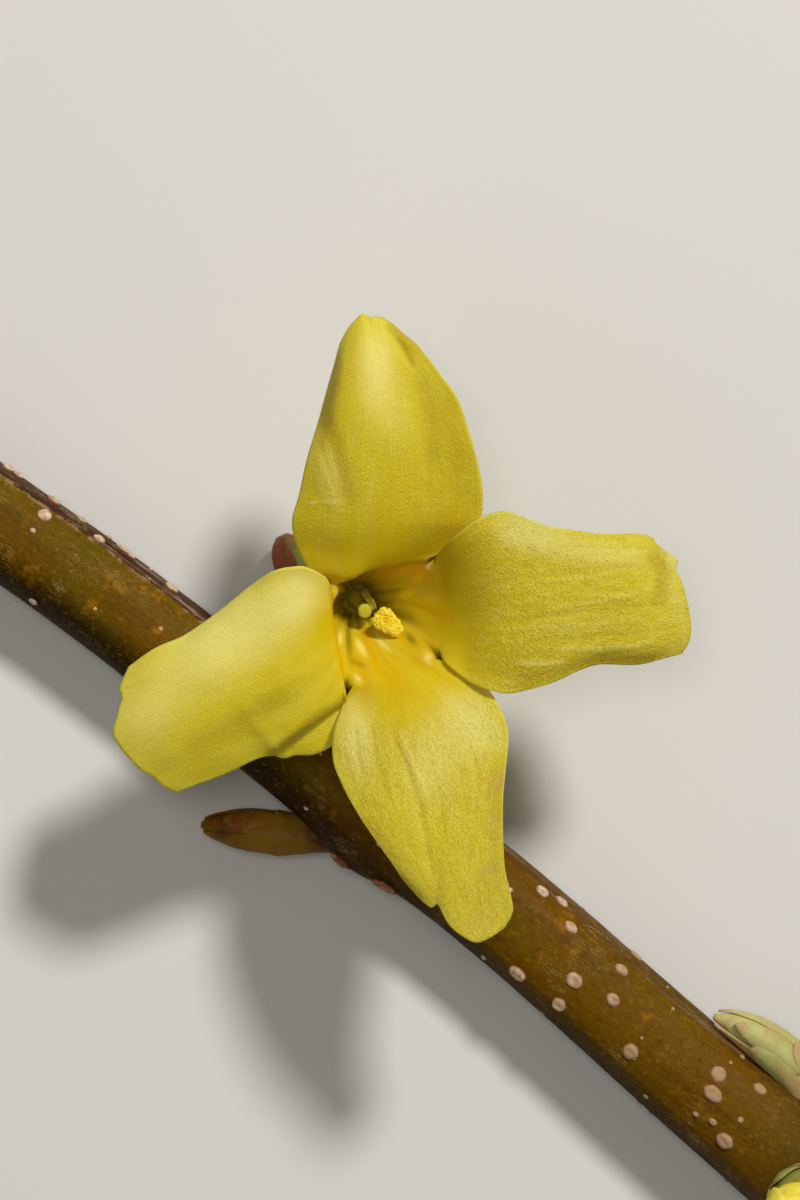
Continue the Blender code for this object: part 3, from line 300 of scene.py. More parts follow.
GOLD = [
    (0.7, 2.85, 1.4, 0.26, 4, 0.9), (2.0, 2.7, 0.6, 0.4, 0, 0.9), (-1.0, -1.1, 1.1, 0.17, -65, 1.0),
    (0.8, -0.95, 1.1, 0.22, -48, 0.9), (-2.75, -1.3, 1.4, 0.14, 100, 0.9), (-0.6, -2.3, 1.2, 0.3, -30, 0.5),
    (-0.7, 2.0, 1.2, 0.16, 35, 0.7), (0.5, 1.15, 1.2, 0.14, -8, 0.6), (1.5, -4.2, 1.2, 0.8, -50, 0.35),
    (2.3, -0.6, 0.8, 0.4, -60, 0.6), (0.0, -0.7, 0.8, 0.25, -15, 0.9),
]
# How rough each lobe's skin is, and the painted light laid over each whole lobe, below 0 painted shade.
GRAIN = {"top": 0.4, "right": 0.9, "bottom": 0.85, "left": 0.25}
PAINTED_LOBE_LIGHT = {"top": -0.1, "right": -0.05, "bottom": 0.0, "left": 0.05}
# Painted shade in the four pits between the lobes and painted highlights on the raised corners beside them,
# told as the tints are.
PIT_SHADE = [
    (2.34, 3.27, 0.25, 0.18, 35, 1.5), (2.72, -1.76, 0.22, 0.2, 0, 1.5),
    (-2.06, -3.27, 0.24, 0.17, 70, 1.3),
    (-2.9, 2.04, 0.13, 0.11, 0, 1.3),
]
CORNER_HIGHLIGHTS = [
    (2.24, 2.9, 0.26, 0.14, 0, 1.0), (2.16, -1.9, 0.32, 0.14, 100, 1.0),
    (-1.58, -3.0, 0.34, 0.11, -42, 1.0),
    (-2.66, 1.76, 0.15, 0.1, 0, 0.9),
]
CORNER_HEIGHT = 0.05
# Where the rim bulges into the throat: angle, half width in radians and reach.
SHOULDER = (radians(147), 0.24, 0.75)
# The small web of petal that closes each pit behind the margins, painted dark as shade.
WEB_REACH = 0.62
WEB_DROP = 0.34
# The notch in the bottom lobe's tip: its place, its pull, its width and its reach.
NOTCH = ((2.75, -15.25), (-0.06, 0.62), 0.26, 1.3)
VEIN_DEPTH = 0.016
PLEAT_DEPTH = 0.06
UNEVEN_DEPTH = 0.12
EDGE_WAVE = 0.14
# Margins that turn down: lobe, side, first and last share of the length, width share, depth.
CURLS = [
    ("top", 0, 0.5, 0.97, 0.2, 0.7), ("left", 1, 0.25, 0.8, 0.14, 0.3),
    ("right", 1, 0.25, 0.97, 0.16, 0.45),
]
CRINKLE_DEPTH = 0.035
RIM_SOFTENING = 14
# Faint red blushes on the petals: right, up, size.
BLUSHES = [(6.1, -8.6, 1.1), (6.0, -10.6, 1.0), (5.5, -13.2, 0.8), (4.9, -15.8, 0.8)]

# Flower stalk as (x, y, z), its cup and its four sepals.
STALK_LINE = [(-4.8, 4.2, 3.83), (-6.3, 5.5, 3.95), (-8.2, 7.0, 4.2), (-9.5, 8.0, 4.8), (-9.95, 8.4, 5.5)]
STALK_RADII = [(0, 0.48), (0.25, 0.5), (0.55, 0.56), (0.82, 0.7), (1, 0.9)]
STALK_STEPS = 40
STALK_SIDES = 28
CUP_RINGS = [
    (5.25, 0.3), (5.45, 0.9), (5.9, 1.5), (6.3, 2.3), (6.75, 2.8), (6.75, 2.55), (6.4, 2.0), (6.4, 1.0),
    (6.4, 0.2),
]
CUP_SIDES = 64
SEPAL_ANGLES = [20, 112, 203, 292]
SEPAL_HALF_ANGLE = radians(37)
SEPAL_FOOT = 6.35
SEPAL_TOP = 10.2
SEPAL_OFFSET = 0.95
SEPAL_LIFT = 0.45
SEPAL_THICKNESS = 0.34
SEPAL_GRID = (14, 20)

# Pistil and stamens in flower coordinates.
PISTIL_LINE = [
    (-1.6, 1.2, 6.75), (-1.6, 1.2, 7.6), (-1.55, 1.12, 8.4), (-1.4, 0.85, 9.4), (-1.22, 0.62, 10.35),
]
PISTIL_RADII = [(0, 0.45), (0.22, 0.58), (0.45, 0.36), (0.72, 0.24), (1, 0.28)]
PISTIL_STEPS = 30
PISTIL_SIDES = 32
STIGMA_RADIUS = 0.38
# The stigma beyond the style: reach and share of its radius.
STIGMA = ((0.06, 0.75), (0.14, 1.0), (0.24, 1.04), (0.31, 0.98), (0.36, 0.86), (0.39, 0.6), (0.4, 0.3))
STAMENS = {
    "stamen_1": {
        "slot": "anther",
        "filament": [(-0.75, 0.55, 7.9), (-0.5, 0.35, 9.0), (-0.2, 0.1, 10.2)],
        "anther": (0.1, -0.1, 11.0),
        "along": (0.77, -0.64, 0.25),
        "length": 1.75,
        "width": 1.1,
        "grains": 1700,
        "taper": 0.45,
        "colours": ((0.98, 0.84, 0.08), (0.94, 0.70, 0.03)),
    },
    "stamen_2": {
        "slot": "anther_behind",
        "filament": [(-1.2, 1.6, 8.2), (-1.15, 1.5, 9.0), (-1.05, 1.35, 9.8)],
        "anther": (-0.93, 1.14, 10.4),
        "along": (0.52, -0.86, 0.3),
        "length": 1.25,
        "width": 0.46,
        "grains": 0,
        "taper": 0.1,
        # painted shade: the anther behind is coloured a darker olive than the front one
        "colours": ((0.40, 0.34, 0.02), (0.30, 0.24, 0.01)),
    },
}
FILAMENT_RADIUS = 0.22
FILAMENT_STEPS = 20
FILAMENT_SIDES = 16
SAC_STEPS = 24
GRAIN_SIDES = 6
GRAIN_RADIUS = 0.055

# Buds by node: the middle line as (x, y, z), the radius along it, and rows of scales.
# A row of scales is (start, end, half angle in degrees, first angle, count, lift).
# colours are those of the foot, the middle, the tip and the edge. patch is another colour, its
# share and its lean to the picture's right. furl is the depth of the petals' folds and their twist.
BUDS = {
    "flower_bud_scales": {
        "piece": "stalk_foot_scales",
        "slot": "stalk_scales",
        "line": [(-2.9, 2.4, 3.7), (-4.1, 3.55, 3.8), (-5.2, 4.55, 3.85)],
        "radius": [(0, 0.95), (0.35, 1.2), (0.75, 1.22), (0.93, 0.9), (1, 0.6)],
        "scales": [(0.1, 0.82, 52, 33, 2, 0.2), (0.22, 1.0, 49, 121, 2, 0.3)],
        "colours": [(0.09, 0.045, 0.02), (0.20, 0.085, 0.03), (0.28, 0.14, 0.06), (0.34, 0.2, 0.1)],
    },
    "back_bud": {
        "piece": "opening_leaf_bud",
        "slot": "back_scales",
        "line": [
            (-4.4, 2.1, 1.33), (-7.6, 4.2, 1.25), (-10.6, 6.1, 1.22), (-13.2, 7.6, 1.35),
            (-15.2, 8.6, 1.6),
        ],
        "radius": [(0, 0.5), (0.3, 0.6), (0.48, 0.95), (0.7, 1.18), (0.88, 1.15), (0.96, 0.85), (1, 0.35)],
        "scales": [
            (0.3, 0.62, 60, 33, 2, 0.15), (0.36, 0.8, 58, 118, 2, 0.14), (0.48, 0.99, 62, 71, 2, 0.04),
        ],
        "colours": [(0.07, 0.03, 0.01), (0.17, 0.02, 0.004), (0.36, 0.12, 0.06), (0.34, 0.16, 0.08)],
        "patch": ((0.36, 0.40, 0.10), 0.95, 0.9),
    },
    "side_bud": {
        "piece": "closed_side_bud",
        "slot": "side_scales",
        "line": [(-2.6, -2.45, 2.5), (-4.6, -3.95, 2.45), (-6.8, -5.35, 2.4), (-8.75, -6.6, 2.5)],
        "radius": [(0, 0.8), (0.2, 0.85), (0.48, 1.08), (0.72, 0.95), (0.88, 0.6), (0.96, 0.35), (1, 0.14)],
        "scales": [
            (0.0, 0.46, 80, 20, 2, 0.1), (0.04, 0.66, 70, 110, 2, 0.12), (0.34, 0.84, 52, 60, 2, 0.1),
            (0.44, 0.98, 50, 150, 2, 0.06),
        ],
        "colours": [(0.07, 0.022, 0.003), (0.25, 0.095, 0.006), (0.11, 0.035, 0.004), (0.26, 0.12, 0.012)],
        "patch": ((0.28, 0.17, 0.01), 0.6, 0.0),
    },
    "upper_bud": {
        "piece": "opening_upper_bud",
        "slot": "upper_scales",
        "line": [
            (27.3, 2.2, 4.0), (25.2, 3.2, 4.1), (22.9, 3.4, 4.2), (21.0, 3.15, 4.3), (19.7, 2.75, 4.35),
        ],
        "radius": [(0, 0.9), (0.2, 1.1), (0.5, 1.05), (0.75, 0.8), (0.92, 0.42), (1, 0.16)],
        "scales": [
            (0.04, 0.46, 60, 40, 2, 0.14), (0.12, 0.68, 58, 130, 2, 0.14), (0.3, 0.86, 50, 85, 2, 0.12),
            (0.4, 0.98, 48, 175, 2, 0.08),
        ],
        "colours": [(0.42, 0.22, 0.12), (0.40, 0.40, 0.13), (0.52, 0.22, 0.15), (0.46, 0.30, 0.15)],
        "patch": ((0.48, 0.54, 0.20), 0.7, 0.0),
    },
    "front_bud_petals": {
        "piece": "furled_petals",
        "slot": "furled_petal",
        "line": [(29.1, -1.85, 8.1), (28.85, -2.3, 9.8), (28.5, -2.9, 11.7), (28.1, -3.6, 13.4)],
        "radius": [(0, 0.6), (0.15, 0.95), (0.45, 1.42), (0.75, 1.15), (0.92, 0.72), (1, 0.4)],
        "scales": [],
        "furl": (0.13, 2.4),
        "colours": [(0.45, 0.40, 0.03), (0.78, 0.66, 0.05), (0.82, 0.72, 0.12), (0.82, 0.72, 0.12)],
    },
    "front_bud_cup": {
        "piece": "front_bud_scales",
        "slot": "cup_scales",
        "line": [(29.55, -1.1, 5.4), (29.35, -1.4, 6.7), (29.15, -1.75, 8.0), (29.0, -2.05, 9.1)],
        "radius": [(0, 1.0), (0.3, 1.25), (0.6, 1.5), (0.85, 1.55), (1, 1.3)],
        "scales": [
            (0.15, 0.75, 55, 20, 2, 0.2), (0.25, 0.88, 52, 107, 2, 0.2), (0.5, 1.0, 38, 65, 4, 0.25),
        ],
        "colours": [(0.16, 0.06, 0.02), (0.26, 0.17, 0.05), (0.24, 0.27, 0.05), (0.34, 0.28, 0.10)],
    },
}
BUD_STEPS = 60
BUD_ROWS = 40
BUD_SIDES = 56
SCALE_GRID = (12, 18)
SCALE_PROUD = 0.16
SCALE_ROOT = 0.34

# Camera over the flower, turned so that the photograph's right is to the right.
CAMERA_PLACE = (-0.00787, 0.00989, 0.27)
CAMERA_TURN = radians(38.5)
CAMERA_LENS = 145.9
SENSOR_WIDTH = 36.0
CLIP_START = 0.01
LOOK_AT = Vector((-0.0077, 0.0086, 0.01))
PICTURE_RIGHT = Vector((cos(CAMERA_TURN), sin(CAMERA_TURN), 0))
PICTURE_UP = Vector((-sin(CAMERA_TURN), cos(CAMERA_TURN), 0))
# Lights: name, metres to the right, up and out from where they look, size, power, colour.
LIGHTS = [
    ("key", (0.22, 0.34, 0.46), 0.1, 3.2, (1.0, 0.95, 0.86)),
    ("fill", (-0.3, -0.2, 0.45), 0.5, 0.25, (1.0, 0.94, 0.82)),
    ("overhead", (-0.03, 0.04, 0.5), 0.12, 0.42, (1.0, 0.96, 0.9)),
]
WORLD_COLOUR = (1.0, 0.95, 0.82, 1.0)
WORLD_STRENGTH = 0.12
FLOOR_HALF = 1.5
FLOOR_COLOUR = (0.7, 0.7, 0.7, 1.0)


# Curves and meshes


def value_at(stops, where):
    """Read a smooth curve through (position, value) stops."""
    if where <= stops[0][0]:
        return stops[0][1]
    if where >= stops[-1][0]:
        return stops[-1][1]
    index = 0
    while stops[index + 1][0] < where:
        index += 1

    def slope(at):
        before = max(at - 1, 0)
        after = min(at + 1, len(stops) - 1)
        return (stops[after][1] - stops[before][1]) / (stops[after][0] - stops[before][0])

    width = stops[index + 1][0] - stops[index][0]
    t = (where - stops[index][0]) / width
    return (
        (2 * t**3 - 3 * t**2 + 1) * stops[index][1]
        + (t**3 - 2 * t**2 + t) * (slope(index) * width)
        + (3 * t**2 - 2 * t**3) * stops[index + 1][1]
        + (t**3 - t**2) * (slope(index + 1) * width)
    )


def smooth_step(share):
    share = min(max(share, 0.0), 1.0)
    return share * share * (3 - 2 * share)


def hump(offset, width=1.0):
    """A smooth hill, 1 in its middle."""
    return exp(-((offset / width) ** 2))


def ripple(*place):
    return noise.noise(Vector(place))


def smooth_line(points, steps):
    """A Catmull-Rom curve through the points, cut into equal steps."""
    marks = [Vector(p) for p in points]
    padded = [2 * marks[0] - marks[1]] + marks + [2 * marks[-1] - marks[-2]]
    line = []
    for p0, p1, p2, p3 in zip(padded, padded[1:], padded[2:], padded[3:]):
        bend = 2 * p0 - 5 * p1 + 4 * p2 - p3
        twist = 3 * p1 - p0 - 3 * p2 + p3
        for step in range(SPAN_STEPS):
            t = step / SPAN_STEPS
            line.append(0.5 * (2 * p1 + (p2 - p0) * t + bend * t**2 + twist * t**3))
    line.append(marks[-1])
    reach = [0.0]
    for before, after in zip(line, line[1:]):
        reach.append(reach[-1] + (after - before).length)
    cut = []
    index = 0
    for step in range(steps + 1):
        wanted = reach[-1] * step / steps
        while index < len(reach) - 2 and reach[index + 1] < wanted:
            index += 1
        t = (wanted - reach[index]) / (reach[index + 1] - reach[index])
        cut.append(line[index].lerp(line[index + 1], min(t, 1.0)))
    return cut


def line_frames(line):
    """The direction, side and upward vectors at every point of a line."""
    frames = []
    for index in range(len(line)):
        along = (line[min(index + 1, len(line) - 1)] - line[max(index - 1, 0)]).normalized()
        if frames:
            side = frames[-1][1] - along * frames[-1][1].dot(along)
        else:
            side = along.cross(Vector((0, 0, 1)) if abs(along.z) < 0.9 else Vector((0.6, 0.8, 0)))
        side.normalize()
        frames.append((along, side, side.cross(along).normalized()))
    return frames


class Body:
    """Points and faces of one piece, with a few numbers at every point for its material."""

    def __init__(self, *marks):
        self.points = []
        self.faces = []
        self.marks = {mark: [] for mark in marks}

    def add_point(self, point, **values):
        self.points.append(point)
        for mark, numbers in self.marks.items():
            numbers.append(values.get(mark, 0.0))
        return len(self.points) - 1

    def add_rings(self, rings, values, start=None, end=None):
        """Closed rings of points in a row; values(ring, k) gives the numbers of a point."""
        count = len(rings[0])
        first = len(self.points)
        for row, ring in enumerate(rings):
            for k, point in enumerate(ring):
                self.add_point(point, **values(row, k))
        for row in range(len(rings) - 1):
            for k in range(count):
                a = first + row * count + k
                b = first + row * count + (k + 1) % count
                self.faces.append((a, b, b + count, a + count))
        last = first + (len(rings) - 1) * count
        middle = sum(rings[0], Vector()) / count if start is None else start
        tip = sum(rings[-1], Vector()) / count if end is None else end
        start_point = self.add_point(middle, **values(0, 0))
        end_point = self.add_point(tip, **values(len(rings) - 1, 0))
        for k in range(count):
            self.faces.append((start_point, first + (k + 1) % count, first + k))
            self.faces.append((end_point, last + k, last + (k + 1) % count))

    def add_rod(self, line, radius_at, sides, values):
        """Rings round a line; radius_at(index) gives a radius, or a function of the angle."""
        rings = []
        for index, (centre, (_, side, upward)) in enumerate(zip(line, line_frames(line))):
            rings.append(ring_round(centre, side, upward, radius_at(index), sides))
        self.add_rings(rings, values)

    def add_blade(self, columns, rows, place):
        """A closed blade; place(v, side) gives its outer point, its inner point and its numbers."""
        spots = []
        for row in range(rows + 1):
            for column in range(columns + 1):
                spots.append(place(row / rows, 2 * column / columns - 1))
        first = len(self.points)
        for face in (0, 1):
            for spot in spots:
                self.add_point(spot[face], **spot[2])
        quads = []
        for row in range(rows):
            for column in range(columns):
                a = first + row * (columns + 1) + column
                quads.append((a, a + 1, a + columns + 2, a + columns + 1))
        self.faces += quads
        self.close_back(quads, len(spots))

    def close_back(self, quads, count):
        """The back of every front face, and the strip along the open edge."""
        edges = set()
        for quad in quads:
            self.faces.append(tuple(number + count for number in reversed(quad)))
            edges.update(zip(quad, quad[1:] + quad[:1]))
        for a, b in sorted(edges):
            if (b, a) not in edges:
                self.faces.append((b, a, a + count, b + count))

    def make(self, name, node, slot, material):
        mesh = bpy.data.meshes.new(name)
        mesh.from_pydata([tuple(p * MM) for p in self.points], [], self.faces)
        mesh.update()
        for mark, numbers in self.marks.items():
            mesh.attributes.new(mark, "FLOAT", "POINT").data.foreach_set("value", numbers)
        mesh.shade_smooth()
        mesh.materials.append(material)
        piece = bpy.data.objects.new(name, mesh)
        bpy.context.scene.collection.objects.link(piece)
        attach(piece, "root")
        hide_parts(node)


def ring_round(centre, side, upward, radius, sides):
    ring = []
    for k in range(sides):
        angle = 2 * pi * k / sides
        reach = radius(angle) if callable(radius) else radius
        ring.append(centre + reach * (cos(angle) * side + sin(angle) * upward))
    return ring


# Materials


class Paint:
    """The nodes of one material."""

    def __init__(self, name, roughness, gloss=0.12):
        self.material = bpy.data.materials.new(name)
        self.material.use_nodes = True
        self.tree = self.material.node_tree
        self.sockets = self.tree.nodes["Principled BSDF"].inputs
        self.sockets["Roughness"].default_value = roughness
        self.sockets["Specular IOR Level"].default_value = gloss

    def put(self, socket, value):
        if isinstance(value, bpy.types.NodeSocket):
            self.tree.links.new(value, socket)
        else:
            socket.default_value = value

    def node(self, kind, output, inputs, **settings):
        """A new node with its settings and inputs; gives one of its outputs."""
        node = self.tree.nodes.new("ShaderNode" + kind)
        for name, value in settings.items():
            setattr(node, name, value)
        for socket, value in inputs.items():
            self.put(node.inputs[socket], value)
        return node.outputs[output]

    def mark(self, name):
        """A number stored at the points of the mesh."""
        return self.node("Attribute", "Fac", {}, attribute_name=name)

    def noise(self, scale, detail=3.0, roughness=0.55, stretch=(1, 1, 1)):
        """Noise in the part's own metres."""
        place = self.node("TexCoord", "Object", {})
        place = self.node("Mapping", "Vector", {"Vector": place, "Scale": stretch})
        inputs = {"Vector": place, "Scale": scale, "Detail": detail, "Roughness": roughness}
        return self.node("TexNoise", "Fac", inputs)

    def streaks(self, scales, detail=3.0):
        """Noise in the coordinates that the mesh carries: three marks and their scales."""
        places = [self.maths("MULTIPLY", self.mark(mark), scale) for mark, scale in scales.items()]
        place = self.node("CombineXYZ", "Vector", dict(zip("XYZ", places)))
        inputs = {"Vector": place, "Scale": 1.0, "Detail": detail, "Roughness": 0.6}
        return self.node("TexNoise", "Fac", inputs)

    def lines(self, value, width):
        """Thin branching lines, where a noise passes its middle."""
        return self.spread(self.maths("ABSOLUTE", self.maths("SUBTRACT", value, 0.5)), width, 0.0)

    def all_of(self, *shares):
        """The product of several shares."""
        product = shares[0]
        for share in shares[1:]:
            product = self.maths("MULTIPLY", product, share)
        return product

    def maths(self, operation, first, second=0.0, third=0.0):
        return self.node("Math", "Value", {0: first, 1: second, 2: third}, operation=operation)

    def spread(self, value, low, high, to_low=0.0, to_high=1.0):
        inputs = {"Value": value, "From Min": low, "From Max": high, "To Min": to_low, "To Max": to_high}
        return self.node("MapRange", "Result", inputs, interpolation_type="SMOOTHSTEP")

    def ramp(self, value, stops):
        node = self.tree.nodes.new("ShaderNodeValToRGB")
        elements = node.color_ramp.elements
        while len(elements) < len(stops):
            elements.new(0.5)
        for element, (position, colour) in zip(elements, stops):
            element.position = position
            element.color = (*colour, 1.0)
        self.put(node.inputs["Fac"], value)
        return node.outputs["Color"]

    def mix(self, share, first, second):
        """Two colours mixed by a share; a colour is a socket or three numbers."""
        first, second = ((*tint, 1.0) if isinstance(tint, tuple) else tint for tint in (first, second))
        return self.node("Mix", 2, {0: share, 6: first, 7: second}, data_type="RGBA")

    def layers(self, colour, *tints):
        """Tints laid over a colour one after another, each with its share and its strength."""
        for tint, share, strength in tints:
            colour = self.mix(self.maths("MULTIPLY", share, strength), colour, tint)
        return colour

    def finish(self, colour, rough=None, bumps=(), flesh=None):
        """Colour, roughness, bumps as (height, depth in mm), and light that passes under the surface."""
        self.put(self.sockets["Base Color"], colour)
        if rough:
            self.put(self.sockets["Roughness"], rough)
        normal = None
        for height, depth in bumps:
            inputs = {"Strength": 1.0, "Distance": depth * MM, "Height": height}
            if normal:
                inputs["Normal"] = normal
            normal = self.node("Bump", "Normal", inputs)
        if normal:
            self.put(self.sockets["Normal"], normal)
        if flesh:
            weight, radius, scale = flesh
            self.sockets["Subsurface Weight"].default_value = weight
            self.sockets["Subsurface Radius"].default_value = radius
            self.sockets["Subsurface Scale"].default_value = scale * MM
        return self.material


def petal_paint(name):
    """Yellow lobes with veins and papillae, painted highlights and painted shade by place, painted glints,
    and a golden throat.
    """
    paint = Paint(name, 0.5, 0.07)
    mark, spread, all_of, maths = paint.mark, paint.spread, paint.all_of, paint.maths

    def streaks(across, along, detail=3.0):
        return paint.streaks({"across": across, "along": along, "seed": 7.3}, detail)

    along = mark("along")
    grain = mark("grain")
    tint = mark("tint")
    crease_shading = mark("crease_shading")
    glow = mark("glow")
    on_lobe = spread(along, 0.02, 0.3)
    fine = streaks(20, 2.6, 4)
    broad = streaks(4, 1.2)
    veins = paint.lines(streaks(8, 1, 1), 0.025)
    crinkle = streaks(46, 112, 2)
    crepe = streaks(6, 60, 2)
    mottle = streaks(15, 17)
    cloud = paint.noise(330, 3, 0.6)
    papillae = paint.noise(10500, 2, 0.65)
    nectar = paint.streaks({"ray_x": 2.9, "ray_y": 2.9, "along": 0.9}, 1.5)
    in_throat = all_of(mark("nectar"), spread(along, -0.95, -0.5))
    rough_skin = all_of(spread(along, 0.05, 0.34), maths("ADD", grain, 0.2))
    # the colour grows darker down the tube: painted shade
    base = paint.ramp(
        maths("MULTIPLY_ADD", along, 0.5, 0.5),
        [
            (0.0, (0.46, 0.38, 0.006)),
            (0.25, (0.56, 0.43, 0.005)),
            (0.42, (0.64, 0.46, 0.005)),
            (0.51, (0.64, 0.46, 0.004)),
            (0.57, (0.62, 0.48, 0.005)),
            (0.7, (0.64, 0.53, 0.012)),
            (0.9, (0.66, 0.555, 0.022)),
            (1.0, (0.69, 0.59, 0.04)),
        ],
    )
    colour = paint.layers(
        base,
        ((0.72, 0.63, 0.07), spread(broad, 0.42, 0.7), 0.3),
        ((0.56, 0.45, 0.008), spread(cloud, 0.5, 0.72), 0.3),
        # painted highlights where the tint mark is above 0 and painted shade where it is below 0
        ((0.84, 0.77, 0.25), spread(tint, 0.0, 1.0), 0.8),
        ((0.45, 0.34, 0.002), spread(tint, 0.0, -1.0), 0.85),
        # painted shade in the creases and painted highlights on the raised veins
        ((0.40, 0.30, 0.002), spread(crease_shading, 0.05, 1.0), 0.45),
        ((0.86, 0.80, 0.27), spread(crease_shading, -0.05, -0.5), 0.55),
        ((0.80, 0.72, 0.14), all_of(spread(mottle, 0.48, 0.7), rough_skin), 0.2),
        ((0.48, 0.38, 0.003), all_of(spread(mottle, 0.5, 0.3), rough_skin), 0.2),
        # painted highlights and painted shade following the crinkled relief
        ((0.84, 0.77, 0.22), all_of(spread(crinkle, 0.5, 0.68), rough_skin), 0.3),
        ((0.44, 0.35, 0.002), all_of(spread(crinkle, 0.5, 0.32), rough_skin), 0.3),
        ((0.84, 0.78, 0.30), all_of(veins, on_lobe, spread(cloud, 0.4, 0.6)), 0.1),
        ((0.60, 0.30, 0.002), all_of(spread(nectar, 0.56, 0.36), in_throat), 0.4),
        # painted highlights and painted shade on the throat wall
        ((0.78, 0.68, 0.14), spread(glow, 0.0, 0.9), 0.9),
        ((0.20, 0.145, 0.001), spread(glow, 0.0, -0.9), 0.7),
        ((0.74, 0.44, 0.002), spread(mark("gold"), 0.0, 1.0), 0.75),
        ((0.60, 0.34, 0.11), all_of(mark("blush"), spread(paint.noise(900, 3), 0.4, 0.62)), 0.55),
        ((0.80, 0.74, 0.20), all_of(spread(maths("ABSOLUTE", mark("across")), 0.95, 1.0), on_lobe), 0.3),
        # painted highlights on the raised corners beside the pits
        ((1.0, 0.90, 0.36), mark("corner"), 0.62),
        # painted shade in the pits between the lobes and on the webs that close them
        ((0.035, 0.02, 0.001), mark("pit"), 0.95),
        # painted glints on the papillae
        ((0.88, 0.83, 0.36), all_of(spread(papillae, 0.52, 0.75), rough_skin), 0.3),
    )
    rough = spread(along, -0.1, 0.2, 0.95, spread(papillae, 0.35, 0.65, 0.56, 0.4))
    bumps = [
        (all_of(crinkle, rough_skin), 0.1),
        (all_of(mottle, rough_skin), 0.05),
        (all_of(crepe, on_lobe, spread(grain, 0.27, 0.38), maths("SUBTRACT", 1.1, grain)), 0.035),
        (all_of(fine, on_lobe), 0.008),
        (all_of(veins, on_lobe), 0.006),
        (all_of(papillae, on_lobe, maths("ADD", grain, 0.3)), 0.05),
    ]
    return paint.finish(colour, rough, bumps, (0.35, (1.0, 0.72, 0.05), 0.7))


def bark_paint():
    """Smooth olive-brown young bark, darker below, with a ridge, lenticels, scars and pale cut ends."""
    paint = Paint("bark_look", 0.4, 0.04)
    mark, spread, all_of, noise_of = paint.mark, paint.spread, paint.all_of, paint.noise
    shade = mark("shade")
    lenticel = mark("lenticel")
    bare = paint.maths("SUBTRACT", 1.0, mark("ridge"))
    further = spread(mark("place"), 4, 18)
    cloud = noise_of(240, 4, 0.6, (0.5, 1, 1))
    streaks = noise_of(1300, 5, 0.65, (0.1, 1, 1))
    splits = noise_of(2600, 4, 0.7, (0.09, 1, 1))
    mottle = noise_of(3800, 4, 0.7, (0.6, 1, 1))
    fibres = paint.lines(noise_of(2300, 5, 0.75, (0.16, 1, 1)), 0.02)
    scratch = all_of(fibres, spread(noise_of(380, 2), 0.56, 0.66))
    ridge = paint.mix(spread(streaks, 0.42, 0.62), (0.035, 0.013, 0.006), (0.095, 0.043, 0.025))
    ridge = paint.layers(ridge, ((0.42, 0.28, 0.21), spread(splits, 0.54, 0.62), 0.6))
    cork = paint.mix(spread(noise_of(3600, 3, 0.7), 0.35, 0.65), (0.42, 0.28, 0.18), (0.70, 0.57, 0.44))
    cork = paint.layers(cork, ((0.36, 0.215, 0.11), further, 0.8))
    cork = paint.mix(spread(lenticel, 0.2, 0.6), (0.24, 0.11, 0.055), cork)
    scar = paint.mix(spread(noise_of(1400, 3), 0.4, 0.7), (0.22, 0.085, 0.03), (0.50, 0.26, 0.14))
    wood = paint.ramp(
        paint.maths("MULTIPLY_ADD", mark("radius"), 0.4, -0.2),
        [
            (0.0, (0.34, 0.23, 0.09)),
            (0.16, (0.58, 0.48, 0.27)),
            (0.55, (0.62, 0.54, 0.30)),
            (0.84, (0.46, 0.44, 0.16)),
            (0.92, (0.20, 0.22, 0.04)),
            (1.0, (0.12, 0.07, 0.02)),
        ],
    )
    wood = paint.layers(wood, ((0.48, 0.36, 0.18), spread(noise_of(1500, 3, 0.6), 0.4, 0.75), 0.5))
    orange = spread(noise_of(420, 4, 0.7), 0.57, 0.7)
    dust = all_of(spread(noise_of(8200, 2, 0.6), 0.66, 0.72), spread(cloud, 0.36, 0.6))
    colour = paint.layers(
        paint.mix(spread(cloud, 0.36, 0.66), (0.140, 0.060, 0.001), (0.116, 0.076, 0.001)),
        ((0.13, 0.062, 0.002), further, 0.45),
        ((0.052, 0.026, 0.002), spread(streaks, 0.48, 0.75), 0.55),
        ((0.014, 0.006, 0.001), shade, 0.88),
        ((0.33, 0.135, 0.004), orange, spread(shade, 0.0, 1.0, 0.8, 0.2)),
        (ridge, mark("ridge"), 0.92),
        ((0.46, 0.27, 0.17), all_of(mark("edge"), spread(noise_of(1500, 4), 0.45, 0.58)), 0.75),
        # painted shade: the bark is darkened at the node swellings, for the shadow the flower casts on the
        # twig
        ((0.045, 0.018, 0.004), mark("node"), 0.7),
        ((0.66, 0.50, 0.15), scratch, 0.75),
        ((0.23, 0.15, 0.008), all_of(spread(mottle, 0.54, 0.7), bare), 0.5),
        ((0.03, 0.014, 0.001), spread(mottle, 0.46, 0.3), 0.45),
        ((0.52, 0.35, 0.05), dust, 0.6),
        (cork, spread(lenticel, 0.04, 0.3), 1.0),
        (scar, spread(mark("scar"), 0.3, 0.7), 1.0),
        (wood, mark("cut"), 1.0),
    )
    bumps = [(streaks, 0.035), (noise_of(5200, 4, 0.7), 0.02), (scratch, 0.02)]
    return paint.finish(colour, spread(cloud, 0.3, 0.7, 0.4, 0.58), bumps)


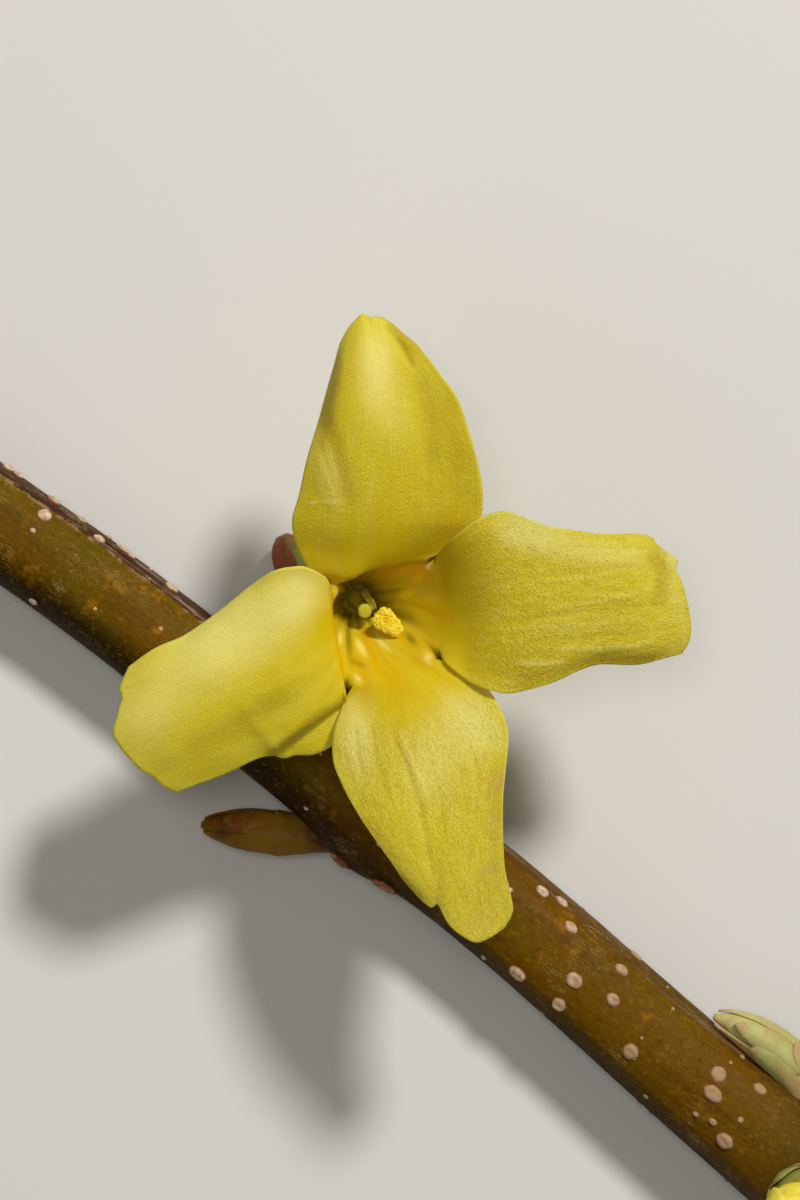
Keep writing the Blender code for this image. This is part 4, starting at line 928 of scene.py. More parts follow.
def bud_paint(name, foot, middle, tip, edge, patch=None):
    """Bud scales: three colours from foot to tip, a patch of another, a thin edge and dry flecks."""
    paint = Paint(name, 0.46)
    mottle = paint.noise(700, 4, 0.65)
    fibre = paint.noise(2400, 4, 0.6, (1, 0.35, 1))
    place = paint.maths("ADD", paint.mark("along"), paint.spread(mottle, 0.3, 0.7, -0.12, 0.12))
    colour = paint.ramp(place, [(0.0, foot), (0.5, middle), (1.0, tip)])
    if patch:
        tint, share, lean = patch
        place = paint.maths("MULTIPLY_ADD", paint.mark("side"), lean, paint.noise(330, 2))
        colour = paint.layers(colour, (tint, paint.spread(place, 0.42, 0.58), share))
    rim = paint.spread(paint.maths("ABSOLUTE", paint.mark("across")), 0.72, 1.0)
    colour = paint.layers(colour, (foot, paint.spread(fibre, 0.5, 0.75), 0.5), (edge, rim, 0.65))
    bumps = [(fibre, 0.04), (paint.noise(6000, 3), 0.02)]
    rough = paint.spread(mottle, 0.3, 0.7, 0.36, 0.6)
    return paint.finish(colour, rough, bumps, (0.12, (1.0, 0.6, 0.2), 0.4))


def green_paint(name, base, tip, roughness=0.42):
    """Soft green flesh of the calyx, the stalk and the pistil."""
    paint = Paint(name, roughness)
    mottle = paint.spread(paint.noise(800, 3, 0.6), 0.3, 0.7, -0.15, 0.15)
    speck = paint.noise(3800, 3, 0.6)
    pale = tuple(min(1.0, 1.7 * c) for c in tip)
    colour = paint.ramp(paint.maths("ADD", paint.mark("along"), mottle), [(0.0, base), (1.0, tip)])
    colour = paint.layers(colour, (pale, paint.spread(speck, 0.55, 0.75), 0.4))
    bumps = [(speck, 0.02), (paint.noise(1300, 3), 0.03)]
    return paint.finish(colour, None, bumps, (0.2, (0.6, 1.0, 0.2), 0.4))


def pollen_paint(name, colour, shade):
    paint = Paint(name, 0.7)
    tone = paint.mix(paint.spread(paint.noise(2600, 3, 0.6), 0.35, 0.7), shade, colour)
    tone = paint.mix(paint.mark("along"), (0.50, 0.46, 0.09), tone)
    return paint.finish(tone, None, [(paint.noise(14000, 2), 0.012)], (0.15, (1.0, 0.7, 0.1), 0.2))


# Twig


def twig_centre(along):
    return Vector((along, value_at(TWIG_LINE, along), value_at(TWIG_RADIUS, along) - FLAT_DEPTH))


def turn_between(angle, other):
    return (angle - other + pi) % (2 * pi) - pi


def lenticel_places():
    """Every lenticel as (along, angle, length, width)."""
    places = []
    for along, across, length, width in LENTICELS_ABOVE:
        reach = (across - twig_centre(along).y) / value_at(TWIG_RADIUS, along)
        places.append((along, acos(max(-0.96, min(0.96, reach))), length, width))
    for along, degrees in LENTICELS_BELOW:
        places.append((along, radians(degrees), 0.9, 0.65))
    chance = random.Random(11)
    for _ in range(SMALL_LENTICELS):
        size = chance.uniform(0.16, 0.42)
        along = chance.uniform(-TWIG_HALF + 2, TWIG_HALF - 2)
        places.append((along, chance.uniform(0, 2 * pi), size * chance.uniform(0.9, 1.5), size))
    return places


def add_lenticel(body, along, angle, length, width, seed):
    """A corky wart: a low dome with a ragged outline and a dent along its middle."""
    rings, spokes = LENTICEL_MESH[width > BROAD_LENTICEL]
    shares = [0.0] + [(ring + 1) / rings for ring in range(rings)] + [LENTICEL_SKIRT]
    height = LENTICEL_HEIGHT * min(1.0, width / 0.6)
    numbers = []
    for ring, share in enumerate(shares):
        row = []
        for k in range(spokes if ring else 1):
            turn = 2 * pi * k / spokes
            reach = share * (1 + LENTICEL_RAGGED * ripple(cos(turn) * 1.4, sin(turn) * 1.4, seed))
            spot = along + 0.5 * length * reach * cos(turn)
            shift = 0.5 * width * reach * sin(turn)
            point, values = twig_surface(spot, angle + shift / value_at(TWIG_RADIUS, along), [])
            centre = twig_centre(spot)
            outward = Vector((0, point.y - centre.y, point.z - centre.z)).normalized()
            dome = max(0.0, 1 - share**2.6) ** 0.7
            dent = LENTICEL_DENT * hump(share * sin(turn), 0.3) * smooth_step((0.75 - share) / 0.4)
            lumps = LENTICEL_LUMPS * ripple(spot * 7, shift * 7, seed + 2) * dome
            lift = height * (dome * (1 - dent) + lumps) - 0.03 * smooth_step((share - 0.9) / 0.2)
            cork = max(0.05, 1 - share**4 - 0.25 * dent) if share < 1.05 else 0.05
            point += outward * lift
            point.z = max(point.z, 0.0)
            row.append(body.add_point(point, **dict(values, lenticel=cork)))
        numbers.append(row)
    for k in range(spokes):
        after = (k + 1) % spokes
        body.faces.append((numbers[0][0], numbers[1][k], numbers[1][after]))
        for inner, outer in zip(numbers[1:], numbers[2:]):
            body.faces.append((inner[k], outer[k], outer[after], inner[after]))


def twig_surface(along, angle, scars):
    """A point of the bark and what shows on it."""
    radius = value_at(TWIG_RADIUS, along)
    radius *= 1 + CORNER_DEPTH * cos(4 * (angle - CORNER_ANGLE))
    swell = 0.0
    for place, middle, length, spread, height in SWELLINGS:
        turn = turn_between(angle, radians(middle))
        swell += height * exp(-(((along - place) / length) ** 2) - (turn / spread) ** 2)
    radius += swell
    for corner in range(4):
        radius += RIB_HEIGHT * hump(turn_between(angle, CORNER_ANGLE + corner * pi / 2), RIB_WIDTH)
    turn = turn_between(angle, CORNER_ANGLE)
    strip = smooth_step((-turn + 0.02) / 0.04) * smooth_step((turn + 0.75) / 0.12)
    left_part = smooth_step((-along - 8) / 8)
    for share, lengthwise, crosswise, seed in RIDGE_LINES:
        radius += RIDGE_LINE_HEIGHT * share * ripple(along * lengthwise, turn * crosswise, seed) * strip
    for height, lengthwise, crosswise in BARK_RIPPLES:
        radius += height * ripple(along * lengthwise, cos(angle) * crosswise, sin(angle) * crosswise)
    scar = 0.0
    for place, degrees, length, width in scars:
        lengthwise = (along - place) / (0.5 * length)
        crosswise = radius * turn_between(angle, radians(degrees)) / (0.5 * width)
        reach = lengthwise**2 + crosswise**2
        if reach < 1.6:
            cushion = max(0.0, 1 - reach) ** 0.5
            scar = max(scar, cushion)
            radius += LEAF_SCAR_HEIGHT * cushion * (1 - 0.45 * smooth_step((0.45 - reach) / 0.3))
    point = twig_centre(along) + Vector((0, radius * cos(angle), radius * sin(angle)))
    point.z = max(point.z, 0.0)
    below = 0.5 - 0.5 * cos(turn_between(angle, radians(68)))
    right_part = smooth_step((along + 8) / 16)
    values = {
        "place": along,
        "ridge": strip * (0.35 + 0.65 * left_part),
        "edge": hump(turn, 0.035) * left_part,
        # node: painted shade at the node swellings
        "node": min(1.0, swell / 0.45),
        "scar": min(1.0, scar * 1.5),
        "radius": radius,
        "shade": smooth_step((below - 0.03 - 0.12 * right_part) / (0.24 + 0.2 * right_part)),
    }
    return point, values


def twig_cut(end, bark):
    """Rings of a pruned end, from the last bark ring inward to the pith pit."""
    sign = 1 if end > 0 else -1
    centre = twig_centre(end)
    rings = []
    numbers = []
    steps = [(1.0, CUT_BEVEL, 0.0)] + [(share, 0.0, 1.0) for share in CUT_SHARES]
    for share, depth, cut in steps:
        ring = []
        for point in bark:
            spot = centre.lerp(Vector((centre.x, point.y, point.z)), share)
            saw_mark = 0.02 * ripple(spot.y * 2.5, spot.z * 2.5, end) * cut
            spot.x = end - sign * (depth + saw_mark) + CUT_SLOPE * (spot.z - centre.z)
            ring.append(spot)
        rings.append(ring)
        numbers.append([{"cut": cut, "radius": 3.0 * share, "place": end}] * TWIG_SIDES)
    for share, depth in PITH_STEPS:
        ring = []
        for angle in TWIG_ANGLES:
            spot = centre + PITH_RADIUS * share * Vector((0, cos(angle), sin(angle)))
            spot.x = end - sign * depth + CUT_SLOPE * (spot.z - centre.z)
            ring.append(spot)
        rings.append(ring)
        numbers.append([{"cut": 1.0, "radius": 0.6 * share, "place": end}] * TWIG_SIDES)
    return rings, numbers


def build_twig():
    half = TWIG_HALF - CUT_ROOM
    steps = round(2 * half / TWIG_STEP)
    rings = []
    numbers = []
    for step in range(steps + 1):
        along = -half + 2 * half * step / steps
        scars = [scar for scar in LEAF_SCARS if abs(scar[0] - along) < scar[2]]
        spots = [twig_surface(along, angle, scars) for angle in TWIG_ANGLES]
        rings.append([point for point, _ in spots])
        numbers.append([values for _, values in spots])
    start_rings, start_numbers = twig_cut(-TWIG_HALF, rings[0])
    end_rings, end_numbers = twig_cut(TWIG_HALF, rings[-1])
    numbers = start_numbers[::-1] + numbers + end_numbers
    body = Body("place", "ridge", "edge", "node", "lenticel", "scar", "radius", "shade", "cut")
    body.add_rings(start_rings[::-1] + rings + end_rings, lambda row, k: numbers[row][k])
    for seed, lenticel in enumerate(lenticel_places()):
        add_lenticel(body, *lenticel, seed)
    body.make("twig_bark", "twig", "bark", bark_paint())


# Flower


def to_part(right, up, out):
    """From flower coordinates to the part's."""
    cos_turn = cos(FLOWER_TURN)
    sin_turn = sin(FLOWER_TURN)
    across = FLOWER_CENTRE[0] + right * cos_turn - up * sin_turn
    return Vector((across, FLOWER_CENTRE[1] + right * sin_turn + up * cos_turn, out))


def beside(flat, origin, along):
    """How far a point lies along a direction from an origin, and how far to its left."""
    offset = flat - Vector(origin)
    return offset.dot(along), offset.x * -along.y + offset.y * along.x


def fold_drop(name, flat):
    """How far a folded margin lies behind its lobe."""
    if name not in FOLDS:
        return 0.0
    start, end, width, drop = FOLDS[name]
    line = Vector(end) - Vector(start)
    reach, outside = beside(flat, start, line.normalized())
    fade = smooth_step((reach + 1.5 * width) / (1.5 * width))
    fade *= smooth_step((line.length + width - reach) / (2 * width))
    return drop * smooth_step(outside / width) * fade


def notch_pull(flat):
    """How far the notch pulls a point of the bottom lobe inward."""
    place, pull, width, reach = NOTCH
    lengthwise, crosswise = beside(flat, place, Vector(pull).normalized())
    return Vector(pull) * exp(-((crosswise / width) ** 2) - (max(lengthwise, 0.0) / reach) ** 2)


def crease_at(creases, flat):
    """How high the creases lift a point, and how much painted shade from a crease or painted highlight from
    a raised vein it gets.
    """
    lift = 0.0
    shade = 0.0
    for points, width, depth in creases:
        near = min(range(len(points)), key=lambda index: (points[index] - flat).length_squared)
        distance = (points[near] - flat).length
        if distance < 2.5 * width:
            along = near / CREASE_STEPS
            share = hump(distance, width) * smooth_step(along / 0.2) * smooth_step((1 - along) / 0.2)
            lift -= depth * share
            shade = max(shade, share * min(1.0, abs(depth) / 0.07)) if depth > 0 else shade - 0.5 * share
    return lift, shade


def tint_at(places, flat):
    """The amount that a list of tints gives a point, from -1 to 1."""
    total = 0.0
    for right, up, length, width, turn, amount in places:
        lengthwise, crosswise = beside(flat, (right, up), Vector((cos(radians(turn)), sin(radians(turn)))))
        total += amount * exp(-((lengthwise / length) ** 2) - (crosswise / width) ** 2)
    return max(-1.0, min(1.0, total))


def relief(name, flat, s, v):
    """Small veins, pleats and unevenness of a lobe, in millimetres of height."""
    lobe = LOBES[name]
    seed = 10.0 * LOBE_NAMES.index(name)
    side = abs(2 * s - 1)
    inside = smooth_step(v / 0.12) * smooth_step((1.02 - side) / 0.2)
    middle = smooth_step((v - 0.2) / 0.2) * smooth_step((0.9 - v) / 0.2)
    height = VEIN_DEPTH * ripple(s * 24, v * 3.4, seed) + PLEAT_DEPTH * ripple(s * 7, v * 1.6, seed + 3)
    height *= lobe["veins"] * inside
    height += CRINKLE_DEPTH * ripple(s * 22, v * 20, seed) * lobe["veins"] * middle * inside
    height += UNEVEN_DEPTH * ripple(flat.x * 0.28, flat.y * 0.28, seed + 3) * inside
    height += EDGE_WAVE * side**5 * ripple(v * 8, s * 2, seed + 7) * smooth_step(v / 0.2)
    across, along = WAVES[name]
    height += value_at(across, s) * value_at(along, v)
    for curled, end, first, last, width, depth in CURLS:
        if name == curled:
            from_margin = 1 - s if end else s
            window = smooth_step((v - first) / 0.15) * smooth_step((last - v) / 0.12)
            height -= depth * window * smooth_step((width - from_margin) / width) ** 1.5
    return height - fold_drop(name, flat)


def lobe_grid(name):
    """Points of a lobe, row by row from the rim to the tip, with their marks."""
    lobe = LOBES[name]
    base = smooth_line(lobe["base"], LOBE_COLUMNS)
    tip = smooth_line(lobe["tip"], LOBE_COLUMNS)
    first = smooth_line([base[0]] + lobe["first"] + [tip[0]], LOBE_ROWS)
    second = smooth_line([base[-1]] + lobe["second"] + [tip[-1]], LOBE_ROWS)
    creases = [(smooth_line(points, CREASE_STEPS), width, depth) for points, width, depth in CREASES[name]]
    grid = []
    for row in range(LOBE_ROWS + 1):
        v = row / LOBE_ROWS
        line = []
        for column in range(LOBE_COLUMNS + 1):
            s = column / LOBE_COLUMNS
            flat = (1 - v) * base[column] + v * tip[column] + (1 - s) * first[row] + s * second[row]
            flat -= (1 - s) * ((1 - v) * base[0] + v * tip[0])
            flat -= s * ((1 - v) * base[-1] + v * tip[-1])
            if name == "bottom":
                flat += notch_pull(flat)
            side = 2 * s - 1
            lift, crease_shading = crease_at(creases, flat)
            corner = tint_at(CORNER_HIGHLIGHTS, flat)
            out = RIM_HEIGHT + value_at(lobe["rise"], v)
            out += value_at(lobe["cup"], v) * side * side
            out += value_at(lobe["lean"], v) * side
            out += relief(name, flat, s, v)
            out += lift
            out += CORNER_HEIGHT * corner
            blush = 0.0
            for right, up, size in BLUSHES:
                blush = max(blush, smooth_step(1.2 - (flat - Vector((right, up))).length / size))
            ray = base[column].normalized()
            marks = {
                "along": v,
                "across": side,
                "seed": LOBE_NAMES.index(name),
                "ray_x": ray.x,
                "ray_y": ray.y,
                "blush": blush,
                "nectar": smooth_step(1 - v / lobe["nectar"]),
                # pit: painted shade in the pits between the lobes
                "pit": tint_at(PIT_SHADE, flat),
                # corner: painted highlight on a raised corner, which also lifts it
                "corner": corner,
                "grain": GRAIN[name],
                "crease_shading": crease_shading,
                # tint: the lobes' painted highlights and painted shade
                "tint": (tint_at(LOBE_LIGHT_AND_SHADE, flat) + PAINTED_LOBE_LIGHT[name]) * smooth_step(v / 0.06),
                "gold": tint_at(GOLD, flat),
            }
            margin = min(1.0, 4.0 * min(s, 1 - s, (1 - v) * 1.2))
            line.append((Vector((flat.x, flat.y, out)), marks, margin))
        grid.append(line)
    return grid


def rim_between(first, second):
    """Places along the edge of a sinus, and how far its small web reaches out under the margins."""
    line = []
    for step in range(1, SINUS_COLUMNS):
        t = step / SINUS_COLUMNS
        point = first.lerp(second, t)
        reach = sin(pi * t) ** 0.7
        push = WEB_REACH * reach * Vector((point.x, point.y, 0)).normalized()
        line.append((point, push - Vector((0, 0, WEB_DROP * reach))))
    return line


def foot_point(radius, angle):
    """A point of a circle round the tube's foot."""
    return Vector((TUBE_FOOT[0] + radius * cos(angle), TUBE_FOOT[1] + radius * sin(angle)))


def corolla_sheet():
    """The middle surface of the tube and its four lobes, with marks and thickness shares."""
    points = []
    marks = []
    margins = []
    quads = []
    rim = []

    def add(point, values, margin):
        points.append(point)
        marks.append(values)
        margins.append(margin)
        return len(points) - 1

    for name in LOBE_NAMES:
        numbers = [[add(*spot) for spot in line] for line in lobe_grid(name)]
        for row, following in zip(numbers, numbers[1:]):
            for k in range(LOBE_COLUMNS):
                quads.append((row[k], row[k + 1], following[k + 1], following[k]))
        rim.append(numbers[0])
    ring = []
    pushes = []
    for row, following in zip(rim, rim[1:] + rim[:1]):
        ring += row
        pushes += [Vector((0, 0, 0))] * len(row)
        for point, push in rim_between(points[row[-1]], points[following[0]]):
            ray = point.xy.normalized()
            # the web under each pit is painted dark all over as shade
            values = {"along": 0.0, "across": 1.0, "nectar": 1.0, "ray_x": ray.x, "ray_y": ray.y, "pit": 1.0}
            ring.append(add(point + push, values, 0.2))
            pushes.append(push)
    rim_points = [points[number] - push for number, push in zip(ring, pushes)]
    tube_length = RIM_HEIGHT - THROAT_RINGS[0][0]
    for level in range(TUBE_ROWS - 1, -1, -1):
        out = THROAT_RINGS[0][0] + tube_length * level / TUBE_ROWS
        radius = value_at([(ring_out, reach) for ring_out, reach, _ in THROAT_RINGS], out)
        share = value_at([(ring_out, part) for ring_out, _, part in THROAT_RINGS], out)
        depth = (RIM_HEIGHT - out) / tube_length
        numbers = []
        for number, point, push in zip(ring, rim_points, pushes):
            angle = atan2(point.y, point.x)
            outward = Vector((cos(angle), sin(angle)))
            flat = foot_point(radius, angle).lerp(Vector((point.x, point.y)), share)
            pleat = TUBE_PLEAT * cos(16 * angle) * smooth_step(depth * 3)
            flat += outward * pleat + push.xy * (1 - depth) ** 30
            turn = turn_between(angle, SHOULDER[0]) / SHOULDER[1]
            flat -= outward * (SHOULDER[2] * exp(-(turn**2)) * smooth_step(depth / 0.07) * (1 - depth))
            fade = smooth_step(1 - depth / 0.12)
            corner = tint_at(CORNER_HIGHLIGHTS, flat) * fade
            height = out + (point.z - RIM_HEIGHT) * (1 - depth) ** 3 + push.z * (1 - depth) ** 30
            # Painted shade in the pits, painted highlights on the corners, and painted highlights and shade
            # on the throat wall.
            values = dict(marks[number], along=-depth, nectar=1.0, crease_shading=0.0, tint=0.0, corner=corner)
            values.update(pit=max(values["pit"] * (1 - depth) ** 30, tint_at(PIT_SHADE, flat) * fade))
            values.update(glow=tint_at(THROAT_LIGHT_AND_SHADE, flat), gold=tint_at(GOLD, flat))
            numbers.append(add(Vector((flat.x, flat.y, height + CORNER_HEIGHT * corner)), values, 1.0))
        for k in range(len(ring)):
            after = (k + 1) % len(ring)
            quads.append((numbers[k], numbers[after], ring[after], ring[k]))
        ring = numbers
    return points, marks, margins, quads


def soften_rim(points, marks, margins, quads):
    """Rounds the bend between the tube and the lobes, and leaves the margins where they are."""
    around = [set() for _ in points]
    for quad in quads:
        for a, b in zip(quad, quad[1:] + quad[:1]):
            around[a].add(b)
            around[b].add(a)
    shares = {}
    for index, values in enumerate(marks):
        near = smooth_step(1 - abs(values["along"]) / 0.22)
        if near > 0 and margins[index] > 0.25:
            shares[index] = 0.6 * near * margins[index]
    for _ in range(RIM_SOFTENING):
        moved = {}
        for index, share in shares.items():
            middle = sum((points[other] for other in around[index]), Vector()) / len(around[index])
            moved[index] = points[index].lerp(middle, share)
        for index, point in moved.items():
            points[index] = point


def build_corolla():
    points, marks, margins, quads = corolla_sheet()
    soften_rim(points, marks, margins, quads)
    normals = [Vector() for _ in points]
    for quad in quads:
        a, b, c, d = (points[number] for number in quad)
        normal = (c - a).cross(d - b)
        for number in quad:
            normals[number] += normal
    body = Body(*marks[0], "glow")
    for sign in (1, -1):
        for point, values, margin, normal in zip(points, marks, margins, normals):
            thickness = MARGIN_THICKNESS + (PETAL_THICKNESS - MARGIN_THICKNESS) * margin
            spot = point + normal.normalized() * sign * thickness / 2
            body.add_point(to_part(spot.x, spot.y, spot.z), **values)
    body.faces += quads
    body.close_back(quads, len(points))
    body.make("petals", "corolla", "petal", petal_paint("petal_look"))


def tube_wall(angle, out):
    """Where the tube's middle surface stands at an angle round its foot."""
    radius = value_at([(ring_out, reach) for ring_out, reach, _ in TUBE_RINGS], out)
    share = value_at([(ring_out, part) for ring_out, _, part in TUBE_RINGS], out)
    return foot_point(radius, angle).lerp(RIM_RADIUS * Vector((cos(angle), sin(angle))), share)


def add_sepal(body, middle):
    def place(v, side):
        half = SEPAL_HALF_ANGLE * sqrt(max(1 - v**2.2, 0.012))
        angle = middle + half * side
        out = SEPAL_FOOT + (SEPAL_TOP - SEPAL_FOOT) * v - 0.25 * side * side * v
        wall = tube_wall(angle, max(out, TUBE_RINGS[0][0]))
        offset = SEPAL_OFFSET * (1 - 0.75 * v) + SEPAL_LIFT * v**3 - 0.12 * side * side * v
        offset += 0.05 * hump(side, 0.12) + 0.03 * ripple(angle * 3, out, 2)
        thickness = SEPAL_THICKNESS * (0.4 + 0.6 * sqrt(max(0.0, 1 - side**4)))
        outer, inner = (
            to_part(wall.x + reach * cos(angle), wall.y + reach * sin(angle), out)
            for reach in (offset + thickness / 2, offset - thickness / 2)
        )
        return outer, inner, {"along": 0.35 + 0.65 * v}

    body.add_blade(*SEPAL_GRID, place)


def build_calyx():
    body = Body("along")

    def ribbed(index):
        radius = value_at(STALK_RADII, index / STALK_STEPS) - 0.03
        return lambda angle: radius * (1 + 0.035 * cos(6 * angle) + 0.03 * ripple(index * 0.3, angle, 1))

    line = smooth_line(STALK_LINE, STALK_STEPS)
    body.add_rod(line, ribbed, STALK_SIDES, lambda row, k: {"along": 0.25 * row / STALK_STEPS})
    cup_rings = []
    for out, radius in CUP_RINGS:
        ring = []
        for k in range(CUP_SIDES):
            angle = 2 * pi * k / CUP_SIDES
            spot = foot_point(radius * (1 + 0.02 * cos(8 * angle)), angle)
            ring.append(to_part(*spot, out))
        cup_rings.append(ring)
    body.add_rings(cup_rings, lambda row, k: {"along": 0.3 + 0.03 * row})
    for degrees in SEPAL_ANGLES:
        add_sepal(body, radians(degrees))
    material = green_paint("calyx_look", (0.16, 0.11, 0.03), (0.22, 0.27, 0.04))
    body.make("calyx_and_stalk", "calyx", "calyx", material)


def build_pistil():
    steps = PISTIL_STEPS
    line = smooth_line([to_part(*p) for p in PISTIL_LINE], steps)
    radii = [value_at(PISTIL_RADII, index / steps) for index in range(steps + 1)]
    top = line[-1]
    along = (line[-1] - line[-2]).normalized()
    for reach, share in STIGMA:
        line.append(top + along * reach)
        radii.append(STIGMA_RADIUS * share)

    def radius_at(index):
        lumpy = 0.05 if index > steps else 0.0
        return lambda angle: radii[index] * (1 + lumpy * (cos(2 * angle) + 0.6 * cos(9 * angle + index)))

    body = Body("along")
    body.add_rod(line, radius_at, PISTIL_SIDES, lambda row, k: {"along": min(1.0, row / steps)})
    material = green_paint("pistil_look", (0.40, 0.35, 0.015), (0.50, 0.45, 0.03), 0.7)
    body.make("pistil_flesh", "pistil", "pistil", material)


def anther_point(shape, share, turn, centre, along, aside):
    """A point on one of the two pollen sacs and its outward direction."""
    sign = 1 if turn < pi else -1
    turn = (turn % pi) * 2
    width = shape["width"] * (1 - shape["taper"] * smooth_step(share * 1.2 - 0.2))
    radius = width * 0.34 * sqrt(max(1 - (2 * share - 1) ** 4, 0.02))
    middle = centre + sign * aside * width * (0.16 + 0.06 * sin(pi * share))
    middle = middle + along * shape["length"] * (share - 0.5)
    outward = cos(turn) * aside + sin(turn) * along.cross(aside).normalized()
    return middle + outward * radius, outward


def add_grain(body, place, radius):
    """A pollen grain, a small six-sided ball."""
    tilt = noise.random_unit_vector()
    side = tilt.orthogonal().normalized()
    upward = tilt.cross(side)
    rings = []
    for level, share in ((-0.6, 0.75), (0.1, 1.0), (0.7, 0.65)):
        rings.append(ring_round(place + tilt * level * radius, side, upward, share * radius, GRAIN_SIDES))
    body.add_rings(rings, lambda row, k: {"along": 1.0}, place - tilt * radius, place + tilt * radius)


def build_stamen(name, shape):
    noise.seed_set(7)
    chance = random.Random(5)
    centre = to_part(*shape["anther"])
    along = (to_part(*shape["along"]) - to_part(0, 0, 0)).normalized()
    aside = along.cross(Vector((0, 0, 1))).normalized()
    body = Body("along")
    line = smooth_line([to_part(*p) for p in shape["filament"]] + [centre], FILAMENT_STEPS)

    def radius_at(index):
        return FILAMENT_RADIUS * (1.25 - 0.5 * index / FILAMENT_STEPS)

    body.add_rod(line, radius_at, FILAMENT_SIDES, lambda row, k: {})
    for sign in (0, 1):
        rings = []
        for step in range(SAC_STEPS + 1):
            ring = []
            for k in range(SAC_STEPS):
                turn = sign * pi + pi * k / SAC_STEPS
                spot, outward = anther_point(shape, step / SAC_STEPS, turn, centre, along, aside)
                ring.append(spot + outward * (0.05 * noise.noise(spot * 5) - 0.04))
            rings.append(ring)
        body.add_rings(rings, lambda row, k: {"along": 0.95})
    for _ in range(shape["grains"]):
        share = chance.uniform(0.02, 0.98)
        spot, outward = anther_point(shape, share, chance.uniform(0, 2 * pi), centre, along, aside)
        clump = 0.07 * noise.noise(spot * 4)
        spot = spot + outward * (chance.uniform(-0.03, 0.03) + clump)
        add_grain(body, spot, GRAIN_RADIUS * chance.uniform(0.6, 1.2))
    body.make(name + "_pollen", name, shape["slot"], pollen_paint(name + "_look", *shape["colours"]))


# Buds


def bud_place(bud, share):
    """Centre, frame and radius at a share of a bud's length."""
    if "frames" not in bud:
        bud["points"] = smooth_line(bud["line"], BUD_STEPS)
        bud["frames"] = line_frames(bud["points"])
    index = min(int(share * BUD_STEPS), BUD_STEPS - 1)
    centre = bud["points"][index].lerp(bud["points"][index + 1], share * BUD_STEPS - index)
    _, side, upward = bud["frames"][index]
    return centre, side, upward, value_at(bud["radius"], share)


def add_bud_body(body, bud):
    folds, twist = bud.get("furl", (0.0, 0.0))
    rings = []
    for row in range(BUD_ROWS + 1):
        share = row / BUD_ROWS
        centre, side, upward, radius = bud_place(bud, share)

        def folded(angle, radius=radius, share=share):
            lap = (4 * (angle - twist * share)) % (2 * pi) / (2 * pi) - 0.5
            rough = 0.02 * ripple(share * 9, cos(angle) * 2, sin(angle) * 2)
            return radius * (1 + folds * lap + rough)

        rings.append(ring_round(centre, side, upward, folded, BUD_SIDES))
    body.add_rings(rings, lambda row, k: {"along": row / BUD_ROWS})


def add_scale(body, bud, start, end, half, middle, lift, seed):
    """One pointed scale that hugs the bud and stands a little off at its tip."""

    def place(v, across):
        share = start + (end - start) * v
        centre, side, upward, radius = bud_place(bud, share)
        width = half * sqrt(max(1 - v**2.4, 0.004))
        width *= 1 + 0.06 * ripple(v * 6, seed, 0.5)
        angle = middle + width * across
        direction = cos(angle) * side + sin(angle) * upward
        proud = SCALE_PROUD + lift * v**1.5 - 0.08 * across * across
        proud += 0.05 * hump(across, 0.15) * (1 - v)
        proud += 0.02 * ripple(v * 5, across * 3, seed)
        thickness = SCALE_ROOT * (1 - 0.6 * v) * (1 - 0.55 * abs(across) ** 3)
        edge = across * (0.55 + 0.45 * v) if v < 0.85 else 1.0
        outer = centre + direction * (radius + proud)
        inner = centre + direction * max(radius + proud - thickness, 0.08)
        return outer, inner, {"along": share, "across": edge, "side": direction.dot(PICTURE_RIGHT)}

    body.add_blade(*SCALE_GRID, place)


def build_bud(node, bud):
    body = Body("along", "across", "side")
    add_bud_body(body, bud)
    for row, (start, end, half, first, count, lift) in enumerate(bud["scales"]):
        for k in range(count):
            middle = radians(first + 360 * k / count)
            add_scale(body, bud, start, end, radians(half), middle, lift, 3.7 * row + k)
    material = bud_paint(bud["slot"] + "_look", *bud["colours"], bud.get("patch"))
    body.make(bud["piece"], node, bud["slot"], material)


# Studio


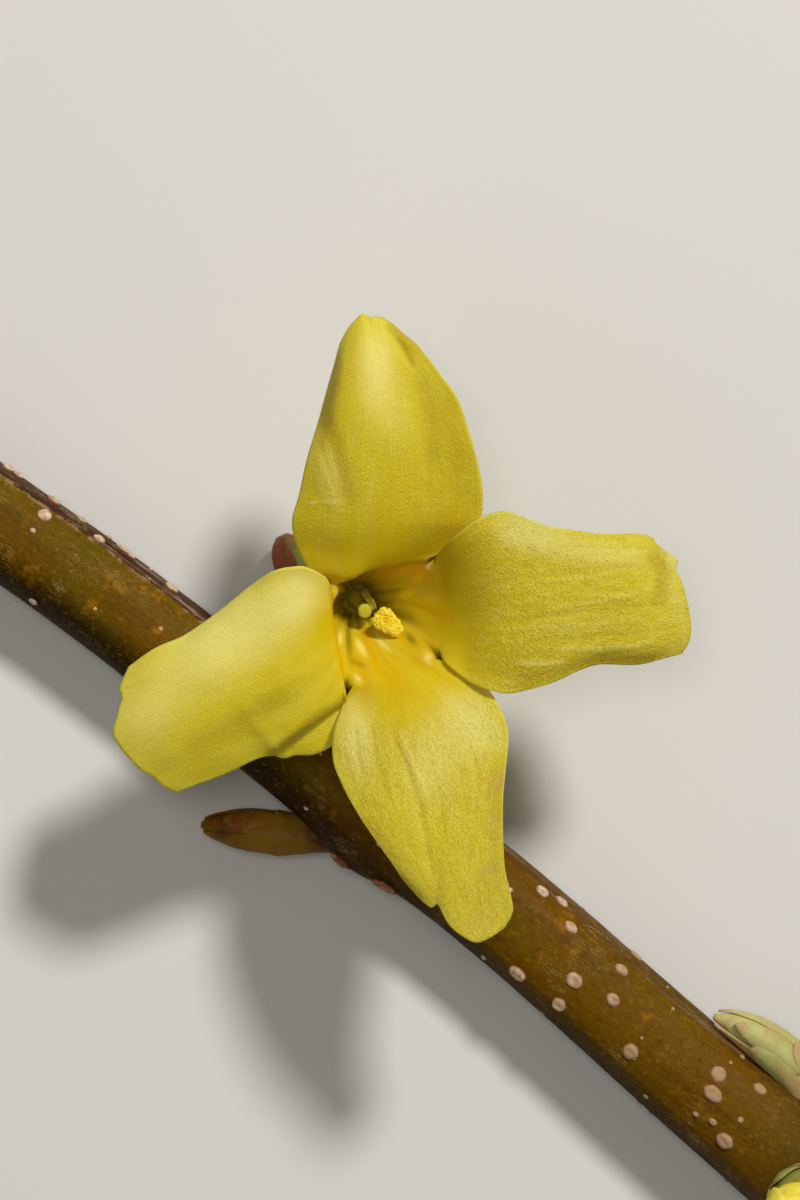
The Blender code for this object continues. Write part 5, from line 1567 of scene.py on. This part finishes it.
def link(name, data):
    thing = bpy.data.objects.new(name, data)
    bpy.context.scene.collection.objects.link(thing)
    return thing


def build_floor():
    mesh = bpy.data.meshes.new("floor")
    half = FLOOR_HALF
    corners = [(-half, -half, 0), (half, -half, 0), (half, half, 0), (-half, half, 0)]
    mesh.from_pydata(corners, [], [(0, 1, 2, 3)])
    mesh.materials.append(Paint("floor_look", 0.8).finish(FLOOR_COLOUR))
    link("floor", mesh)


def build_studio():
    for name, (right, up, out), size, power, colour in LIGHTS:
        data = bpy.data.lights.new(name, "AREA")
        data.shape = "DISK"
        data.size = size
        data.energy = power
        data.color = colour
        light = link(name, data)
        offset = right * PICTURE_RIGHT + up * PICTURE_UP + out * Vector((0, 0, 1))
        light.location = LOOK_AT + offset
        light.rotation_euler = offset.to_track_quat("Z", "Y").to_euler()
    world = bpy.data.worlds.new("studio")
    world.use_nodes = True
    background = world.node_tree.nodes["Background"]
    background.inputs["Color"].default_value = WORLD_COLOUR
    background.inputs["Strength"].default_value = WORLD_STRENGTH
    bpy.context.scene.world = world
    bpy.context.scene.view_settings.view_transform = "Standard"


def build_camera():
    data = bpy.data.cameras.new("camera")
    data.sensor_width = SENSOR_WIDTH
    data.lens = CAMERA_LENS
    data.clip_start = CLIP_START
    camera = link("camera", data)
    camera.location = CAMERA_PLACE
    camera.rotation_euler = (0, 0, CAMERA_TURN)
    bpy.context.scene.camera = camera


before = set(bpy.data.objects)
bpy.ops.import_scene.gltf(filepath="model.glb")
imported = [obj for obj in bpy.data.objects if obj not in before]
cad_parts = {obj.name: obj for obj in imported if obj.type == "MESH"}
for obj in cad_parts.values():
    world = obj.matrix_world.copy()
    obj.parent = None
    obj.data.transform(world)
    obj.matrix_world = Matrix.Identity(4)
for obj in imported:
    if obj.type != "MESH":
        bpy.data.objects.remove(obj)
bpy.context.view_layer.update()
build_twig()
build_corolla()
build_calyx()
build_pistil()
for stamen, stamen_shape in STAMENS.items():
    build_stamen(stamen, stamen_shape)
for bud_node, bud_shape in BUDS.items():
    build_bud(bud_node, bud_shape)
build_floor()
build_studio()
build_camera()
